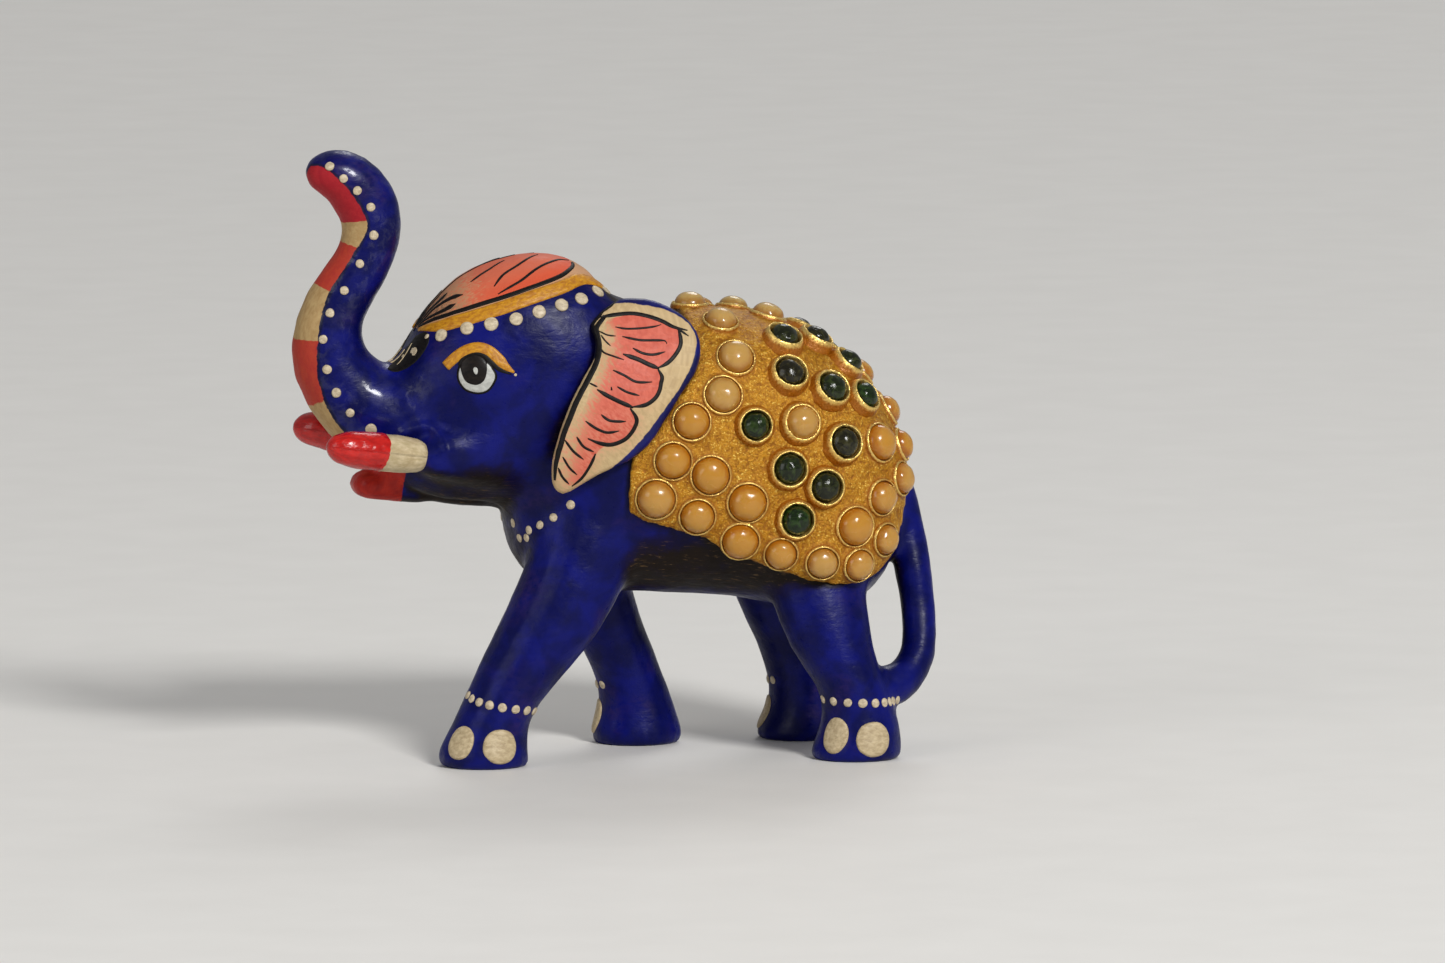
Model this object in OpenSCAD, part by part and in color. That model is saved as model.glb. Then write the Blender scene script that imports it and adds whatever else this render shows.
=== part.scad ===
// Painted wooden elephant with a raised trunk and a gilded, stone-set saddle.
// The elephant faces -X, its left side faces -Y and it stands on z = 0.
// Every station below is for a figure 100 mm tall; overall_h scales all of it.

/* [Figure] */
// Height from the soles to the top of the raised trunk
overall_h = 100; // [75:1:150]

/* [Ears and tusks] */
// Thickness of an ear
ear_t = 2.2; // [1.8:0.1:2.6]
// Diameter of a tusk
tusk_d = 6.2; // [5.4:0.1:6.6]

/* [Saddle] */
// Thickness of the gilded relief over the wood
saddle_t = 1.5; // [1.3:0.1:1.8]

/* [Stones] */
// Diameter of a full-size cream cabochon
pearl_d = 5.3; // [4.6:0.1:5.4]
// Diameter of a green cabochon
green_d = 4.8; // [4.2:0.1:5]
// Height of a green stone's collar above the relief
green_collar_h = 1.3; // [0.8:0.1:1.8]

/* [Hidden] */

blue = [0.10, 0.09, 0.50];
gold = [0.80, 0.58, 0.14];
bright_gold = [0.90, 0.78, 0.42];
cream = [0.88, 0.82, 0.66];
pearl_white = [0.90, 0.84, 0.68];
deep_green = [0.10, 0.16, 0.08];
red = [0.80, 0.08, 0.06];

// Torso stations: x, top, bottom, half width
TORSO = [
  [-19, 43, 40.5, 1.5], [-17.5, 52, 33.5, 7.5], [-13, 63, 28.5, 11.5], [-6, 69, 27.2, 14.6],
  [2, 71.6, 26.8, 16.4], [10, 71.8, 26.4, 17.4], [18, 71.2, 25.6, 17.8], [26, 69.2, 24, 17.6],
  [33, 65.8, 23, 16.8], [39, 60.8, 24.2, 14.8], [43.4, 54.2, 28.6, 11.4], [46, 47.6, 34.5, 6.6],
  [47, 42, 39, 1.5]
];
TORSO_POWER = 2.4;

// The swell of the torso over each haunch: station, wrap angle, the reach of both, height
HAUNCH = [7.9, 128, 1.7, 20, 2.1];

// Head stations: x, top, bottom, half width
HEAD = [
  [-41, 60, 51, 3], [-39.5, 62.5, 47.6, 6], [-35.3, 67.6, 44, 9], [-31, 74.2, 42.3, 11],
  [-26, 79, 41.4, 12.7], [-20, 81.6, 41.2, 13.8], [-14, 82.1, 42, 14.2], [-8, 81, 44.5, 13.8],
  [-3, 78.4, 48, 12.6], [1, 75.6, 52, 11.2], [6, 72.5, 58, 8], [8, 70, 62, 4]
];
HEAD_POWER = 2.15;

// Round-limbed stations: x, y, z, half width, half depth
TRUNK = [
  [-26, 0, 54, 10, 9], [-31.2, 0, 54.6, 9.6, 9.2], [-37.4, 0, 56, 8.4, 8.8], [-43.2, 0, 59.4, 7, 7.4],
  [-47.4, 0, 65, 6, 6.4], [-47.8, 0, 71.5, 5.4, 5.5], [-45.3, 0, 76.8, 5, 4.9],
  [-42.6, 0, 81, 4.8, 4.7], [-40.9, 0, 85.6, 4.8, 4.8], [-41, 0, 89.8, 4.9, 5],
  [-43, 0, 93.4, 4.8, 5], [-45.9, 0, 95.6, 4.5, 4.4], [-48.8, 0, 96, 3.8, 3.6],
  [-50.8, 0, 95.7, 2.2, 2], [-51.3, 0, 95.6, 0.8, 0.8]
];
TAIL = [
  [43, 0.5, 46, 2.4, 2.4], [46, 0, 43.6, 3.1, 3.1], [47.6, -1, 37, 3.3, 3.2],
  [48.7, -3, 30, 3.1, 3], [49.3, -5, 22.4, 2.8, 2.8], [48.6, -7.5, 16.2, 2.9, 2.8],
  [45.8, -9.5, 12.4, 3.2, 3.2], [42.3, -11, 11.2, 3.5, 3.5], [39, -12.5, 11.2, 3, 3]
];

// Leg stations: x, y, z, half length, half width
LEG_FRONT_LEFT = [
  [-5, -7.6, 42, 9, 6.4], [-6, -8, 38, 9.2, 6.8], [-8.5, -8.4, 31, 9, 7.2], [-13.3, -9, 22, 8.6, 7.2],
  [-16.6, -9.2, 17.2, 7.8, 6.8], [-20.1, -9.5, 12, 6.8, 6.4], [-22.3, -9.7, 8.4, 6.3, 6.1],
  [-23.7, -9.9, 5, 6.7, 6.3], [-24.3, -10, 2.2, 7.4, 6.9], [-24.2, -10, 0.5, 7.3, 6.8],
  [-24.1, -10, 0, 6.9, 6.4]
];
LEG_FRONT_RIGHT = [
  [-5.5, 8, 42, 8.4, 6.4], [-5.6, 8.6, 36, 8.2, 6.8], [-2, 10.8, 25, 6.8, 6.4],
  [2.6, 12.8, 15.6, 5.9, 6], [4.9, 13.4, 10.3, 5.7, 5.8], [5.9, 13.5, 6, 6.2, 6.1],
  [6, 13.5, 2.4, 7.3, 6.8], [6, 13.5, 0.5, 7.3, 6.8], [5.9, 13.5, 0, 6.9, 6.4]
];
LEG_REAR_LEFT = [
  [30.5, -8.4, 38, 9, 5.8], [30.8, -9.4, 32, 8.6, 6.4], [31.4, -10.9, 26, 7.8, 6.6],
  [33.2, -12.5, 18, 6.8, 6.5], [36, -13.4, 12, 5.8, 6.1], [37.4, -13.5, 7.8, 6, 6],
  [37.4, -13.5, 4, 6.9, 6.5], [37, -13.5, 1.6, 7.4, 6.9], [36.9, -13.5, 0.4, 7.3, 6.8],
  [36.8, -13.5, 0, 6.9, 6.4]
];
LEG_REAR_RIGHT = [
  [29.6, 8.4, 38, 8.8, 5.8], [29.2, 9.4, 31, 8.2, 6.4], [29.4, 10.9, 24, 7.4, 6.5],
  [32.2, 12.9, 16, 6.2, 6.4], [33.8, 13.4, 9.8, 5.7, 5.9], [34, 13.5, 5.2, 6.1, 6.1],
  [33.6, 13.5, 2, 7.1, 6.7], [33.4, 13.5, 0.4, 7.1, 6.7], [33.3, 13.5, 0, 6.7, 6.3]
];

// Left ear: outline as x, z, and the height of its middle sheet as z, y
EAR = [
  [-7, 72], [-2.8, 75.3], [0.4, 75.9], [4.4, 75.2], [8.1, 73.2], [10.4, 70.4], [10.7, 66.9], [9.3, 63.6],
  [6.8, 60.4], [4, 56.2], [1.4, 52.7], [-2, 50], [-6.4, 48.2], [-9.8, 46.3], [-12.6, 44.9],
  [-14.3, 46.6], [-14.4, 50.2], [-13.2, 54.7], [-11.3, 59.4], [-9, 63.4], [-6.8, 67.2], [-6.5, 70]
];
EAR_CENTRE = [-1.6, 62.6];
EAR_SHEET = [
  [44, -17], [50, -17.7], [55, -17.6], [60, -16.9], [66, -15.3], [70, -13.6], [74, -11.4], [78, -9]
];
EAR_BULGE = 0.7;
EAR_ROOT = [[-4.6, 73], [-5.2, 70], [-5.4, 67], [-7.6, 63], [-9.8, 59], [-11.6, 55], [-12.6, 51]];

// Left tusk: the middle of its buried end and the middle of its round tip
TUSK_ROOT = [-29.5, -9.8, 50.1];
TUSK_TIP = [-48, -14.5, 52.9];

// Saddle edge as torso station by wrap angle, and hem angle by torso station
SADDLE_FRONT = [[0, 5.0], [28, 4.98], [45, 4.9], [63, 4.6], [81, 4.0], [90, 3.72], [106, 3.6]];
SADDLE_REAR = [[0, 11.3], [54, 11.15], [90, 10.4], [112, 9.85], [121, 9.65]];
SADDLE_HEM = [
  [3.6, 105], [3.85, 109], [5.1, 116], [5.75, 124], [6.4, 127], [7.25, 130], [8, 130],
  [8.95, 128], [9.65, 121]
];

// Stones on the left side: torso station, wrap angle from the ridge, share of full size
FRONT_ROW = [
  [5.65, 23, 0.9], [5.8, 47, 1], [5.48, 65, 1], [4.83, 76, 0.98], [4.45, 89, 0.98], [4.12, 100, 1.06]
];
HEM_ROW = [[4.95, 106.5, 0.94], [5.85, 116, 1], [6.68, 119, 0.86], [7.57, 119.5, 0.86], [8.45, 119, 0.86]];
FLANK_ROW = [[5.2, 92, 1.04], [5.95, 100, 1.06], [8.35, 101, 1.06]];
FLANK_CENTRE = [7.05, 71, 0.95];
RUMP_ROW = [
  [9.12, 64, 1.02], [9.16, 89, 0.92], [9.28, 107, 0.84], [10, 76, 0.88], [10.15, 46, 0.84], [9.75, 20, 0.84]
];
RIDGE_ROW = [[5.25, 0, 0.9], [6.25, -12, 0.88], [6.78, 2, 0.94], [9.05, 0, 0.84]];
GREENS = [
  [6.85, 29, 1], [7.65, 17, 0.98], [8.38, 23, 0.96], [6.85, 50, 1], [7.8, 50, 1.02], [8.68, 43, 0.98],
  [6.1, 76, 0.98], [8.05, 73, 1.02], [6.78, 88, 1.02], [7.6, 90, 1], [6.95, 103, 1]
];

// Setting of the stones
dome_share = 0.43;
pocket_depth = 0.9;
rim_w = 0.42;
pearl_rim_h = 0.35;
flare = 0.35;
clearance = 0.05;
round_fn = 48;
pocket_fn = 12;

// Steps between stations, and points around each limb
torso_steps = 2;
head_steps = 2;
limb_steps = 2;
torso_fn = 36;
head_fn = 28;
limb_fn = 16;

tusk_r = tusk_d / 2;
trunk_rings = tube_rings(TRUNK, limb_steps, limb_fn);
tail_rings = tube_rings(TAIL, limb_steps, 12);
x_front = min([for (ring = trunk_rings, p = ring) p[0]]);
x_rear = max([for (ring = tail_rings, p = ring) p[0]]);
z_top = max([for (ring = trunk_rings, p = ring) p[2]]);

// A smooth curve through rows of numbers; t counts the rows from 0
function curve(rows, t) =
  let (
    last = len(rows) - 1,
    i = min(max(floor(t), 0), last - 1),
    f = t - i,
    a = rows[max(i - 1, 0)],
    b = rows[i],
    c = rows[i + 1],
    d = rows[min(i + 2, last)]
  )
  (2 * b + (c - a) * f + (2 * a - 5 * b + 4 * c - d) * f * f + (3 * b - a - 3 * c + d) * f * f * f) / 2;

function unit(v) = v / norm(v);
function signed_power(v, e) = sign(v) * pow(abs(v), e);
function steps(rows, per_row) = [for (i = [0 : (len(rows) - 1) * per_row]) i / per_row];

// A point on a lofted trunk-like form whose rows hold x, top, bottom, half width
function loft_point(rows, t, angle, power) =
  let (c = curve(rows, t))
  [
    c[0],
    -c[3] * signed_power(sin(angle), 2 / power),
    (c[1] + c[2]) / 2 + (c[1] - c[2]) / 2 * signed_power(cos(angle), 2 / power)
  ];

function head_rings() = [
  for (t = steps(HEAD, head_steps))
    [for (k = [0 : head_fn - 1]) loft_point(HEAD, t, 360 * k / head_fn, HEAD_POWER)]
];

// Rings square to a bent centre line whose rows hold x, y, z, half width, half depth
function tube_rings(rows, per_row, points) = [
  for (t = steps(rows, per_row))
    let (
      here = curve(rows, t),
      ahead = curve(rows, t + 0.05),
      behind = curve(rows, t - 0.05),
      along = unit([ahead[0] - behind[0], ahead[1] - behind[1], ahead[2] - behind[2]]),
      side = unit([0, 1, 0] - along * along[1]),
      depth = cross(along, side)
    )
    [
      for (k = [0 : points - 1])
        [here[0], here[1], here[2]]
        + side * here[3] * cos(360 * k / points)
        + depth * here[4] * sin(360 * k / points)
    ]
];

// Level rings for a leg whose rows hold x, y, z, half length, half width
function leg_rings(rows) = [
  for (t = steps(rows, limb_steps))
    let (c = curve(rows, t))
    [
      for (k = [0 : limb_fn - 1])
        [c[0] + c[3] * cos(360 * k / limb_fn), c[1] - c[4] * sin(360 * k / limb_fn), max(c[2], 0)]
    ]
];

// The torso's surface and its outward normal; angle runs from the ridge down the left side
function haunch_swell(t, angle) =
  HAUNCH[4] * exp(-pow((t - HAUNCH[0]) / HAUNCH[2], 2) - pow((abs(angle) - HAUNCH[1]) / HAUNCH[3], 2));
function torso_point(t, angle) =
  loft_point(TORSO, t, angle, TORSO_POWER) - [0, sign(angle) * haunch_swell(t, angle), 0];
function torso_normal(t, angle) =
  let (
    along = torso_point(t + 0.03, angle) - torso_point(t - 0.03, angle),
    around = torso_point(t, angle + 1) - torso_point(t, angle - 1)
  )
  unit(cross(around, along));
function above_torso(t, angle, height) = torso_point(t, angle) + torso_normal(t, angle) * height;

function torso_rings() = [
  for (t = steps(TORSO, torso_steps))
    [for (k = [0 : torso_fn - 1]) torso_point(t, 360 * k / torso_fn - (2 * k > torso_fn ? 360 : 0))]
];

// A closed skin over rings that run clockwise as seen along the path
module skin(rings) {
  n = len(rings[0]);
  last = len(rings) - 1;
  polyhedron(
    points = [for (ring = rings) each ring],
    faces = [
      [for (k = [0 : n - 1]) k],
      [for (k = [n - 1 : -1 : 0]) last * n + k],
      for (i = [0 : last - 1], k = [0 : n - 1])
        let (a = i * n + k, b = i * n + (k + 1) % n)
        each [[a, a + n, b + n], [a, b + n, b]]
    ]
  );
}

// Places its children in the figure's own frame, at the figure's size
module placed() {
  scale(overall_h / z_top)
    translate([-(x_front + x_rear) / 2, 0, 0])
      children();
}

// Stands its children on the torso, z along the outward normal
module on_torso(t, angle, height) {
  at = above_torso(t, angle, height);
  normal = torso_normal(t, angle);
  translate(at)
    rotate([0, acos(normal[2]), atan2(normal[1], normal[0])])
      children();
}

// Lays its children along the left tusk's axis, z towards the tip
module on_tusk() {
  run = TUSK_TIP - TUSK_ROOT;
  translate(TUSK_ROOT)
    rotate([0, acos(run[2] / norm(run)), atan2(run[1], run[0])])
      children();
}

module side(left) {
  mirror([0, left ? 0 : 1, 0])
    children();
}

// A rounded lump between two balls
module lump(a, ra, b, rb) {
  hull() {
    translate(a)
      sphere(r = ra, $fn = 20);
    translate(b)
      sphere(r = rb, $fn = 20);
  }
}

module carved_block() {
  difference() {
    union() {
      skin(torso_rings());
      skin(head_rings());
      skin(trunk_rings);
      skin(tail_rings);
      for (rows = [LEG_FRONT_LEFT, LEG_FRONT_RIGHT, LEG_REAR_LEFT, LEG_REAR_RIGHT])
        skin(leg_rings(rows));
      lower_lip();
      for (left = [true, false])
        side(left) {
          lump([-29, -8.8, 51.2], 4.9, [-23, -8.4, 51], 5.6);
          lump([-10, -6.6, 37], 6.6, [-4, -7.6, 38], 6.8);
          lump([43, -1, 46], 3.8, [45, 0, 42], 3.6);
        }
    }
    for (left = [true, false])
      side(left)
        on_tusk()
          cylinder(h = 20, r = tusk_r + clearance, $fn = 24);
  }
}

module lower_lip() {
  hull()
    for (y = [-1.6, 1.6])
      translate([-41.5, y, 45.3])
        scale([1, 1, 0.85])
          sphere(r = 2.6, $fn = 20);
  hull() {
    for (y = [-1.6, 1.6])
      translate([-41, y, 45.3])
        sphere(r = 2.3, $fn = 20);
    translate([-33, 0, 46])
      sphere(r = 4, $fn = 20);
  }
}

module body() {
  color(blue)
    placed()
      carved_block();
}

// One ear sheet, rounded at its rim, from its outer face to its inner face
module ear_sheet() {
  profile = [[0.03, 1], [0.4, 1], [0.75, 1], [0.93, 0.95], [0.98, 0.72], [1, 0.3]];
  last = len(profile) - 1;
  sheet = [for (i = [0 : last]) [profile[i][0], -profile[i][1]], for (i = [last : -1 : 0]) profile[i]];
  closed = concat([EAR[len(EAR) - 1]], EAR, [EAR[0], EAR[1]]);
  outline = [for (i = [0 : len(EAR) * 2 - 1]) curve(closed, 1 + i / 2)];
  skin([
    for (layer = sheet)
      [
        for (p = outline)
          let (q = EAR_CENTRE + (p - EAR_CENTRE) * layer[0])
          [q[0], lookup(q[1], EAR_SHEET) + layer[1] * ear_t / 2 - EAR_BULGE * (1 - pow(layer[0], 2)), q[1]]
      ]
  ]);
}

// The ear's root: a welt along its front edge that runs into the head
module ear_root() {
  for (i = [0 : len(EAR_ROOT) - 2])
    hull()
      for (p = [EAR_ROOT[i], EAR_ROOT[i + 1]]) {
        translate([p[0], lookup(p[1], EAR_SHEET), p[1]])
          sphere(r = ear_t / 2 - 0.1, $fn = 10);
        translate([p[0] + 0.6, -8, p[1] - 0.6])
          sphere(r = ear_t / 2, $fn = 10);
      }
}

module ear_form(left) {
  side(left) {
    ear_sheet();
    ear_root();
  }
}

module ear(left) {
  color(cream)
    placed()
      difference() {
        ear_form(left);
        carved_block();
      }
}

module tusk(left) {
  run = norm(TUSK_TIP - TUSK_ROOT);
  color(red)
    placed()
      side(left)
        on_tusk()
          translate([0, 0, clearance]) {
            cylinder(h = run - clearance, r = tusk_r, $fn = round_fn);
            translate([0, 0, run - clearance])
              sphere(r = tusk_r, $fn = round_fn);
          }
}

// Every setting on the left side: station, angle, share, outer radius of its collar
LEFT_SETTINGS = [
  for (s = concat(FRONT_ROW, HEM_ROW, FLANK_ROW, RUMP_ROW)) [s[0], s[1], pearl_d / 2 * s[2] + rim_w],
  [FLANK_CENTRE[0], FLANK_CENTRE[1], pearl_d / 2 * FLANK_CENTRE[2] + rim_w + flare],
  for (s = GREENS) [s[0], s[1], green_d / 2 * s[2] + rim_w + flare]
];
RIDGE_SETTINGS = [for (s = RIDGE_ROW) [s[0], s[1], pearl_d / 2 * s[2] + rim_w]];

module pocket(setting) {
  on_torso(setting[0], setting[1], saddle_t - pocket_depth)
    cylinder(h = 6, r = (setting[2] + clearance) / cos(180 / pocket_fn), $fn = pocket_fn);
}

// A sheet of relief over the torso, thick enough to reach into the wood
module saddle_sheet() {
  across = 36;
  along = 20;
  buried = 1.2;
  function place(u, v) =
    let (
      guess = abs(v) * 120,
      front = lookup(guess, SADDLE_FRONT),
      rear = lookup(guess, SADDLE_REAR),
      t = front + (rear - front) * u
    )
    [t, v * lookup(t, SADDLE_HEM)];
  function grid(height) = [
    for (i = [0 : along], j = [0 : across])
      let (p = place(i / along, 2 * j / across - 1))
      above_torso(p[0], p[1], height)
  ];
  row = across + 1;
  shift = row * (along + 1);
  rim = [
    for (j = [0 : across - 1]) j,
    for (i = [0 : along - 1]) i * row + across,
    for (j = [across : -1 : 1]) along * row + j,
    for (i = [along : -1 : 1]) i * row
  ];
  polyhedron(
    points = concat(grid(saddle_t), grid(-buried)),
    faces = [
      for (i = [0 : along - 1], j = [0 : across - 1])
        let (a = i * row + j)
        each [
          [a, a + row, a + row + 1], [a, a + row + 1, a + 1],
          [a + shift, a + row + 1 + shift, a + row + shift], [a + shift, a + 1 + shift, a + row + 1 + shift]
        ],
      for (k = [0 : len(rim) - 1])
        let (a = rim[k], b = rim[(k + 1) % len(rim)])
        each [[a, b, b + shift], [a, b + shift, a + shift]]
    ]
  );
}

module saddle() {
  color(gold)
    placed()
      difference() {
        saddle_sheet();
        carved_block();
        ear_form(true);
        ear_form(false);
        for (setting = LEFT_SETTINGS, left = [true, false])
          side(left)
            pocket(setting);
        for (setting = RIDGE_SETTINGS)
          pocket(setting);
      }
}

// A domed stone that stands on its pocket's floor, its girdle lift above the relief
module cabochon(d, lift) {
  dome = d * dome_share;
  ball_r = (d * d / 4 + dome * dome) / (2 * dome);
  intersection() {
    cylinder(h = pocket_depth + lift + dome + 1, d = d, $fn = round_fn);
    union() {
      cylinder(h = pocket_depth + lift, d = d, $fn = round_fn);
      translate([0, 0, pocket_depth + lift + dome - ball_r])
        sphere(r = ball_r, $fn = round_fn);
    }
  }
}

// A collar around a stone: a wall with a foot wider than its rim by spread
module collar_ring(d, lift, spread) {
  inner = d / 2 + clearance;
  outer = d / 2 + rim_w;
  rotate_extrude($fn = round_fn)
    polygon([
      [inner, 0], [outer + spread, 0], [outer + spread, pocket_depth],
      [outer, pocket_depth + lift], [inner, pocket_depth + lift]
    ]);
}

module set_stones(row, full_d, lift, tint) {
  color(tint)
    for (s = row)
      on_torso(s[0], s[1], saddle_t - pocket_depth)
        cabochon(full_d * s[2], lift);
}

module set_collars(row, full_d, lift, spread) {
  color(bright_gold)
    for (s = row)
      on_torso(s[0], s[1], saddle_t - pocket_depth)
        collar_ring(full_d * s[2], lift, spread);
}

module pearls(row, left) {
  placed()
    side(left)
      set_stones(row, pearl_d, pearl_rim_h * 0.6, pearl_white);
}

module pearl_collars(row, left) {
  placed()
    side(left)
      set_collars(row, pearl_d, pearl_rim_h, 0);
}

module flank_pearls(left) {
  pearls(FLANK_ROW, left);
  placed()
    side(left)
      set_stones([FLANK_CENTRE], pearl_d, green_collar_h * 0.8, pearl_white);
}

module flank_collars(left) {
  pearl_collars(FLANK_ROW, left);
  placed()
    side(left)
      set_collars([FLANK_CENTRE], pearl_d, green_collar_h, flare);
}

module greens(left) {
  placed()
    side(left)
      set_stones(GREENS, green_d, green_collar_h * 0.8, deep_green);
}

module green_collars(left) {
  placed()
    side(left)
      set_collars(GREENS, green_d, green_collar_h, flare);
}

body();
ear(true);  // ear_left
ear(false);  // ear_right
tusk(true);  // tusk_left
tusk(false);  // tusk_right
saddle();
pearls(FRONT_ROW, true);  // pearls_front_left
pearls(FRONT_ROW, false);  // pearls_front_right
pearls(HEM_ROW, true);  // pearls_hem_left
pearls(HEM_ROW, false);  // pearls_hem_right
flank_pearls(true);  // pearls_flank_left
flank_pearls(false);  // pearls_flank_right
pearls(RUMP_ROW, true);  // pearls_rump_left
pearls(RUMP_ROW, false);  // pearls_rump_right
pearls(RIDGE_ROW, true);  // pearls_ridge
greens(true);  // greens_left
greens(false);  // greens_right
pearl_collars(FRONT_ROW, true);  // collars_front_left
pearl_collars(FRONT_ROW, false);  // collars_front_right
pearl_collars(HEM_ROW, true);  // collars_hem_left
pearl_collars(HEM_ROW, false);  // collars_hem_right
flank_collars(true);  // collars_flank_left
flank_collars(false);  // collars_flank_right
pearl_collars(RUMP_ROW, true);  // collars_rump_left
pearl_collars(RUMP_ROW, false);  // collars_rump_right
pearl_collars(RIDGE_ROW, true);  // collars_ridge
green_collars(true);  // collars_green_left
green_collars(false);  // collars_green_right
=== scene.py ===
"""A painted wooden elephant with a raised trunk and a gilded, stone-set saddle."""
import math

import bmesh
import bpy
import numpy as np
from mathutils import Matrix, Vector, noise
from mathutils.bvhtree import BVHTree


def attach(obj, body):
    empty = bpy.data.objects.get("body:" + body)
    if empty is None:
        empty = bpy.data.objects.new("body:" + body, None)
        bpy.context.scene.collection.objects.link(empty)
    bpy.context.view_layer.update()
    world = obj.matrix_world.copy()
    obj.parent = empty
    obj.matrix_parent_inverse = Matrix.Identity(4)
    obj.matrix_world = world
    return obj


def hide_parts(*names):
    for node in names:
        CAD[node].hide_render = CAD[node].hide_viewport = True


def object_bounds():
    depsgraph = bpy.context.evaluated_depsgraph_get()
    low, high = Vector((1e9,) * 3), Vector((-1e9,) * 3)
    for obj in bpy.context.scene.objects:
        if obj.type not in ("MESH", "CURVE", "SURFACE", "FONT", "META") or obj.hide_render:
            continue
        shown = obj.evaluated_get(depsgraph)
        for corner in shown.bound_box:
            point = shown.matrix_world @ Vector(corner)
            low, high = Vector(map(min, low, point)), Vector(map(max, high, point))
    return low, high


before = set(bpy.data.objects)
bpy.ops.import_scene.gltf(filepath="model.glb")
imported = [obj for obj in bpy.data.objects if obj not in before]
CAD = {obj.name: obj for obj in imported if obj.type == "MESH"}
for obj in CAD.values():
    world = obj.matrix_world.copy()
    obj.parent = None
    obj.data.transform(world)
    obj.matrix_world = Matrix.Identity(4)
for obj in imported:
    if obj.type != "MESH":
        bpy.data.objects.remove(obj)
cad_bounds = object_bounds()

# Sizes below are in hundredths of the figure's height, and UNIT is one of them in metres.
# Only the lights and the floor are placed in metres.
UNIT = (cad_bounds[1].z - cad_bounds[0].z) / 100
SIDES = {"left": -1, "right": 1}


# ---------------------------------------------------------------- camera, light and floor

VIEW_AZIMUTH = math.radians(-12)
VIEW_ELEVATION = math.radians(6.7)
VIEW_DISTANCE = 2624
VIEW_AIM_RIGHT = 18.05
VIEW_AIM_UP = 44.40
LENS = 400
FLOOR_REACH = 12


def view_axes():
    """The directions back to the camera, to its right and up, at the figure."""
    a, e = VIEW_AZIMUTH, VIEW_ELEVATION
    back = Vector((math.sin(a) * math.cos(e), -math.cos(a) * math.cos(e), math.sin(e)))
    right = Vector((math.cos(a), math.sin(a), 0))
    return back, right, back.cross(right)


def add_camera():
    back, right, up = view_axes()
    data = bpy.data.cameras.new("camera")
    data.lens = LENS
    data.sensor_width = 36
    data.clip_start = 0.01
    data.clip_end = 20
    camera = bpy.data.objects.new("camera", data)
    bpy.context.collection.objects.link(camera)
    aim = (right * VIEW_AIM_RIGHT + up * VIEW_AIM_UP) * UNIT
    camera.location = aim + back * VIEW_DISTANCE * UNIT
    camera.rotation_euler = back.to_track_quat("Z", "Y").to_euler()
    bpy.context.scene.camera = camera


def add_light(name, place, target, size, power):
    """A round lamp that faces its target; places and size are in metres, power in watts."""
    data = bpy.data.lights.new(name, "AREA")
    data.shape = "DISK"
    data.size = size
    data.energy = power
    lamp = bpy.data.objects.new(name, data)
    bpy.context.collection.objects.link(lamp)
    lamp.location = place
    lamp.rotation_euler = (Vector(place) - Vector(target)).to_track_quat("Z", "Y").to_euler()


def add_studio():
    middle = (0, 0, 50 * UNIT)
    add_light("key", (0.76, -2.34, 1.7), middle, 0.75, 68)
    add_light("fill", (-2.4, -1.5, 1.1), middle, 1.6, 14)
    add_light("rim", (0.9, 2.2, 2.0), middle, 1.2, 14)
    world = bpy.data.worlds.new("studio")
    world.use_nodes = True
    sky = world.node_tree.nodes["Background"]
    sky.inputs["Color"].default_value = (0.92, 0.93, 0.95, 1)
    sky.inputs["Strength"].default_value = 0.30
    bpy.context.scene.world = world
    bpy.context.scene.view_settings.view_transform = "Standard"
    corners = [(x * FLOOR_REACH, y * FLOOR_REACH, 0) for x, y in ((-1, -1), (1, -1), (1, 1), (-1, 1))]
    floor = make_object("floor", corners, [(0, 1, 2, 3)], floor_paper())


# ---------------------------------------------------------------- mesh helpers


def make_object(name, points, faces, material):
    """A new smooth-shaded mesh object at the origin, its points in metres."""
    mesh = bpy.data.meshes.new(name)
    mesh.from_pydata([tuple(p) for p in points], [], [tuple(int(i) for i in f) for f in faces])
    mesh.materials.append(material)
    mesh.polygons.foreach_set("use_smooth", [True] * len(mesh.polygons))
    mesh.update()
    thing = bpy.data.objects.new(name, mesh)
    bpy.context.collection.objects.link(thing)
    return thing


def place_piece(piece, slot, *replaced):
    """Attaches a finished piece to the root body and hides the CAD parts it replaces."""
    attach(piece, "root")
    if replaced:
        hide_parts(*replaced)


def apply_modifiers(thing):
    """Turns the evaluated object into a plain mesh and drops its modifiers."""
    graph = bpy.context.evaluated_depsgraph_get()
    mesh = bpy.data.meshes.new_from_object(thing.evaluated_get(graph))
    thing.modifiers.clear()
    thing.data = mesh
    return mesh


def rows_of(items, key, width, kind):
    """One property of every item of a mesh, as rows of this width."""
    flat = np.empty(len(items) * width, kind)
    items.foreach_get(key, flat)
    return flat.reshape(-1, width)


def points_of(mesh):
    """The mesh's points as rows, in figure units."""
    return rows_of(mesh.vertices, "co", 3, np.float32).astype(float) / UNIT


def set_points(mesh, points):
    mesh.vertices.foreach_set("co", (points * UNIT).astype(np.float32).ravel())
    mesh.update()


def normals_of(mesh):
    return rows_of(mesh.vertex_normals, "vector", 3, np.float32).astype(float)


def edges_of(mesh):
    return rows_of(mesh.edges, "vertices", 2, np.int32)


def neighbour_mean(values, edges, degree):
    """The mean of each point's neighbours, for one column or several."""
    a, b = edges[:, 0], edges[:, 1]
    columns = values if values.ndim > 1 else values[:, None]
    total = np.empty_like(columns)
    for i in range(columns.shape[1]):
        total[:, i] = np.bincount(a, columns[b, i], len(columns))
        total[:, i] += np.bincount(b, columns[a, i], len(columns))
    mean = total / degree[:, None]
    return mean if values.ndim > 1 else mean[:, 0]


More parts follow.
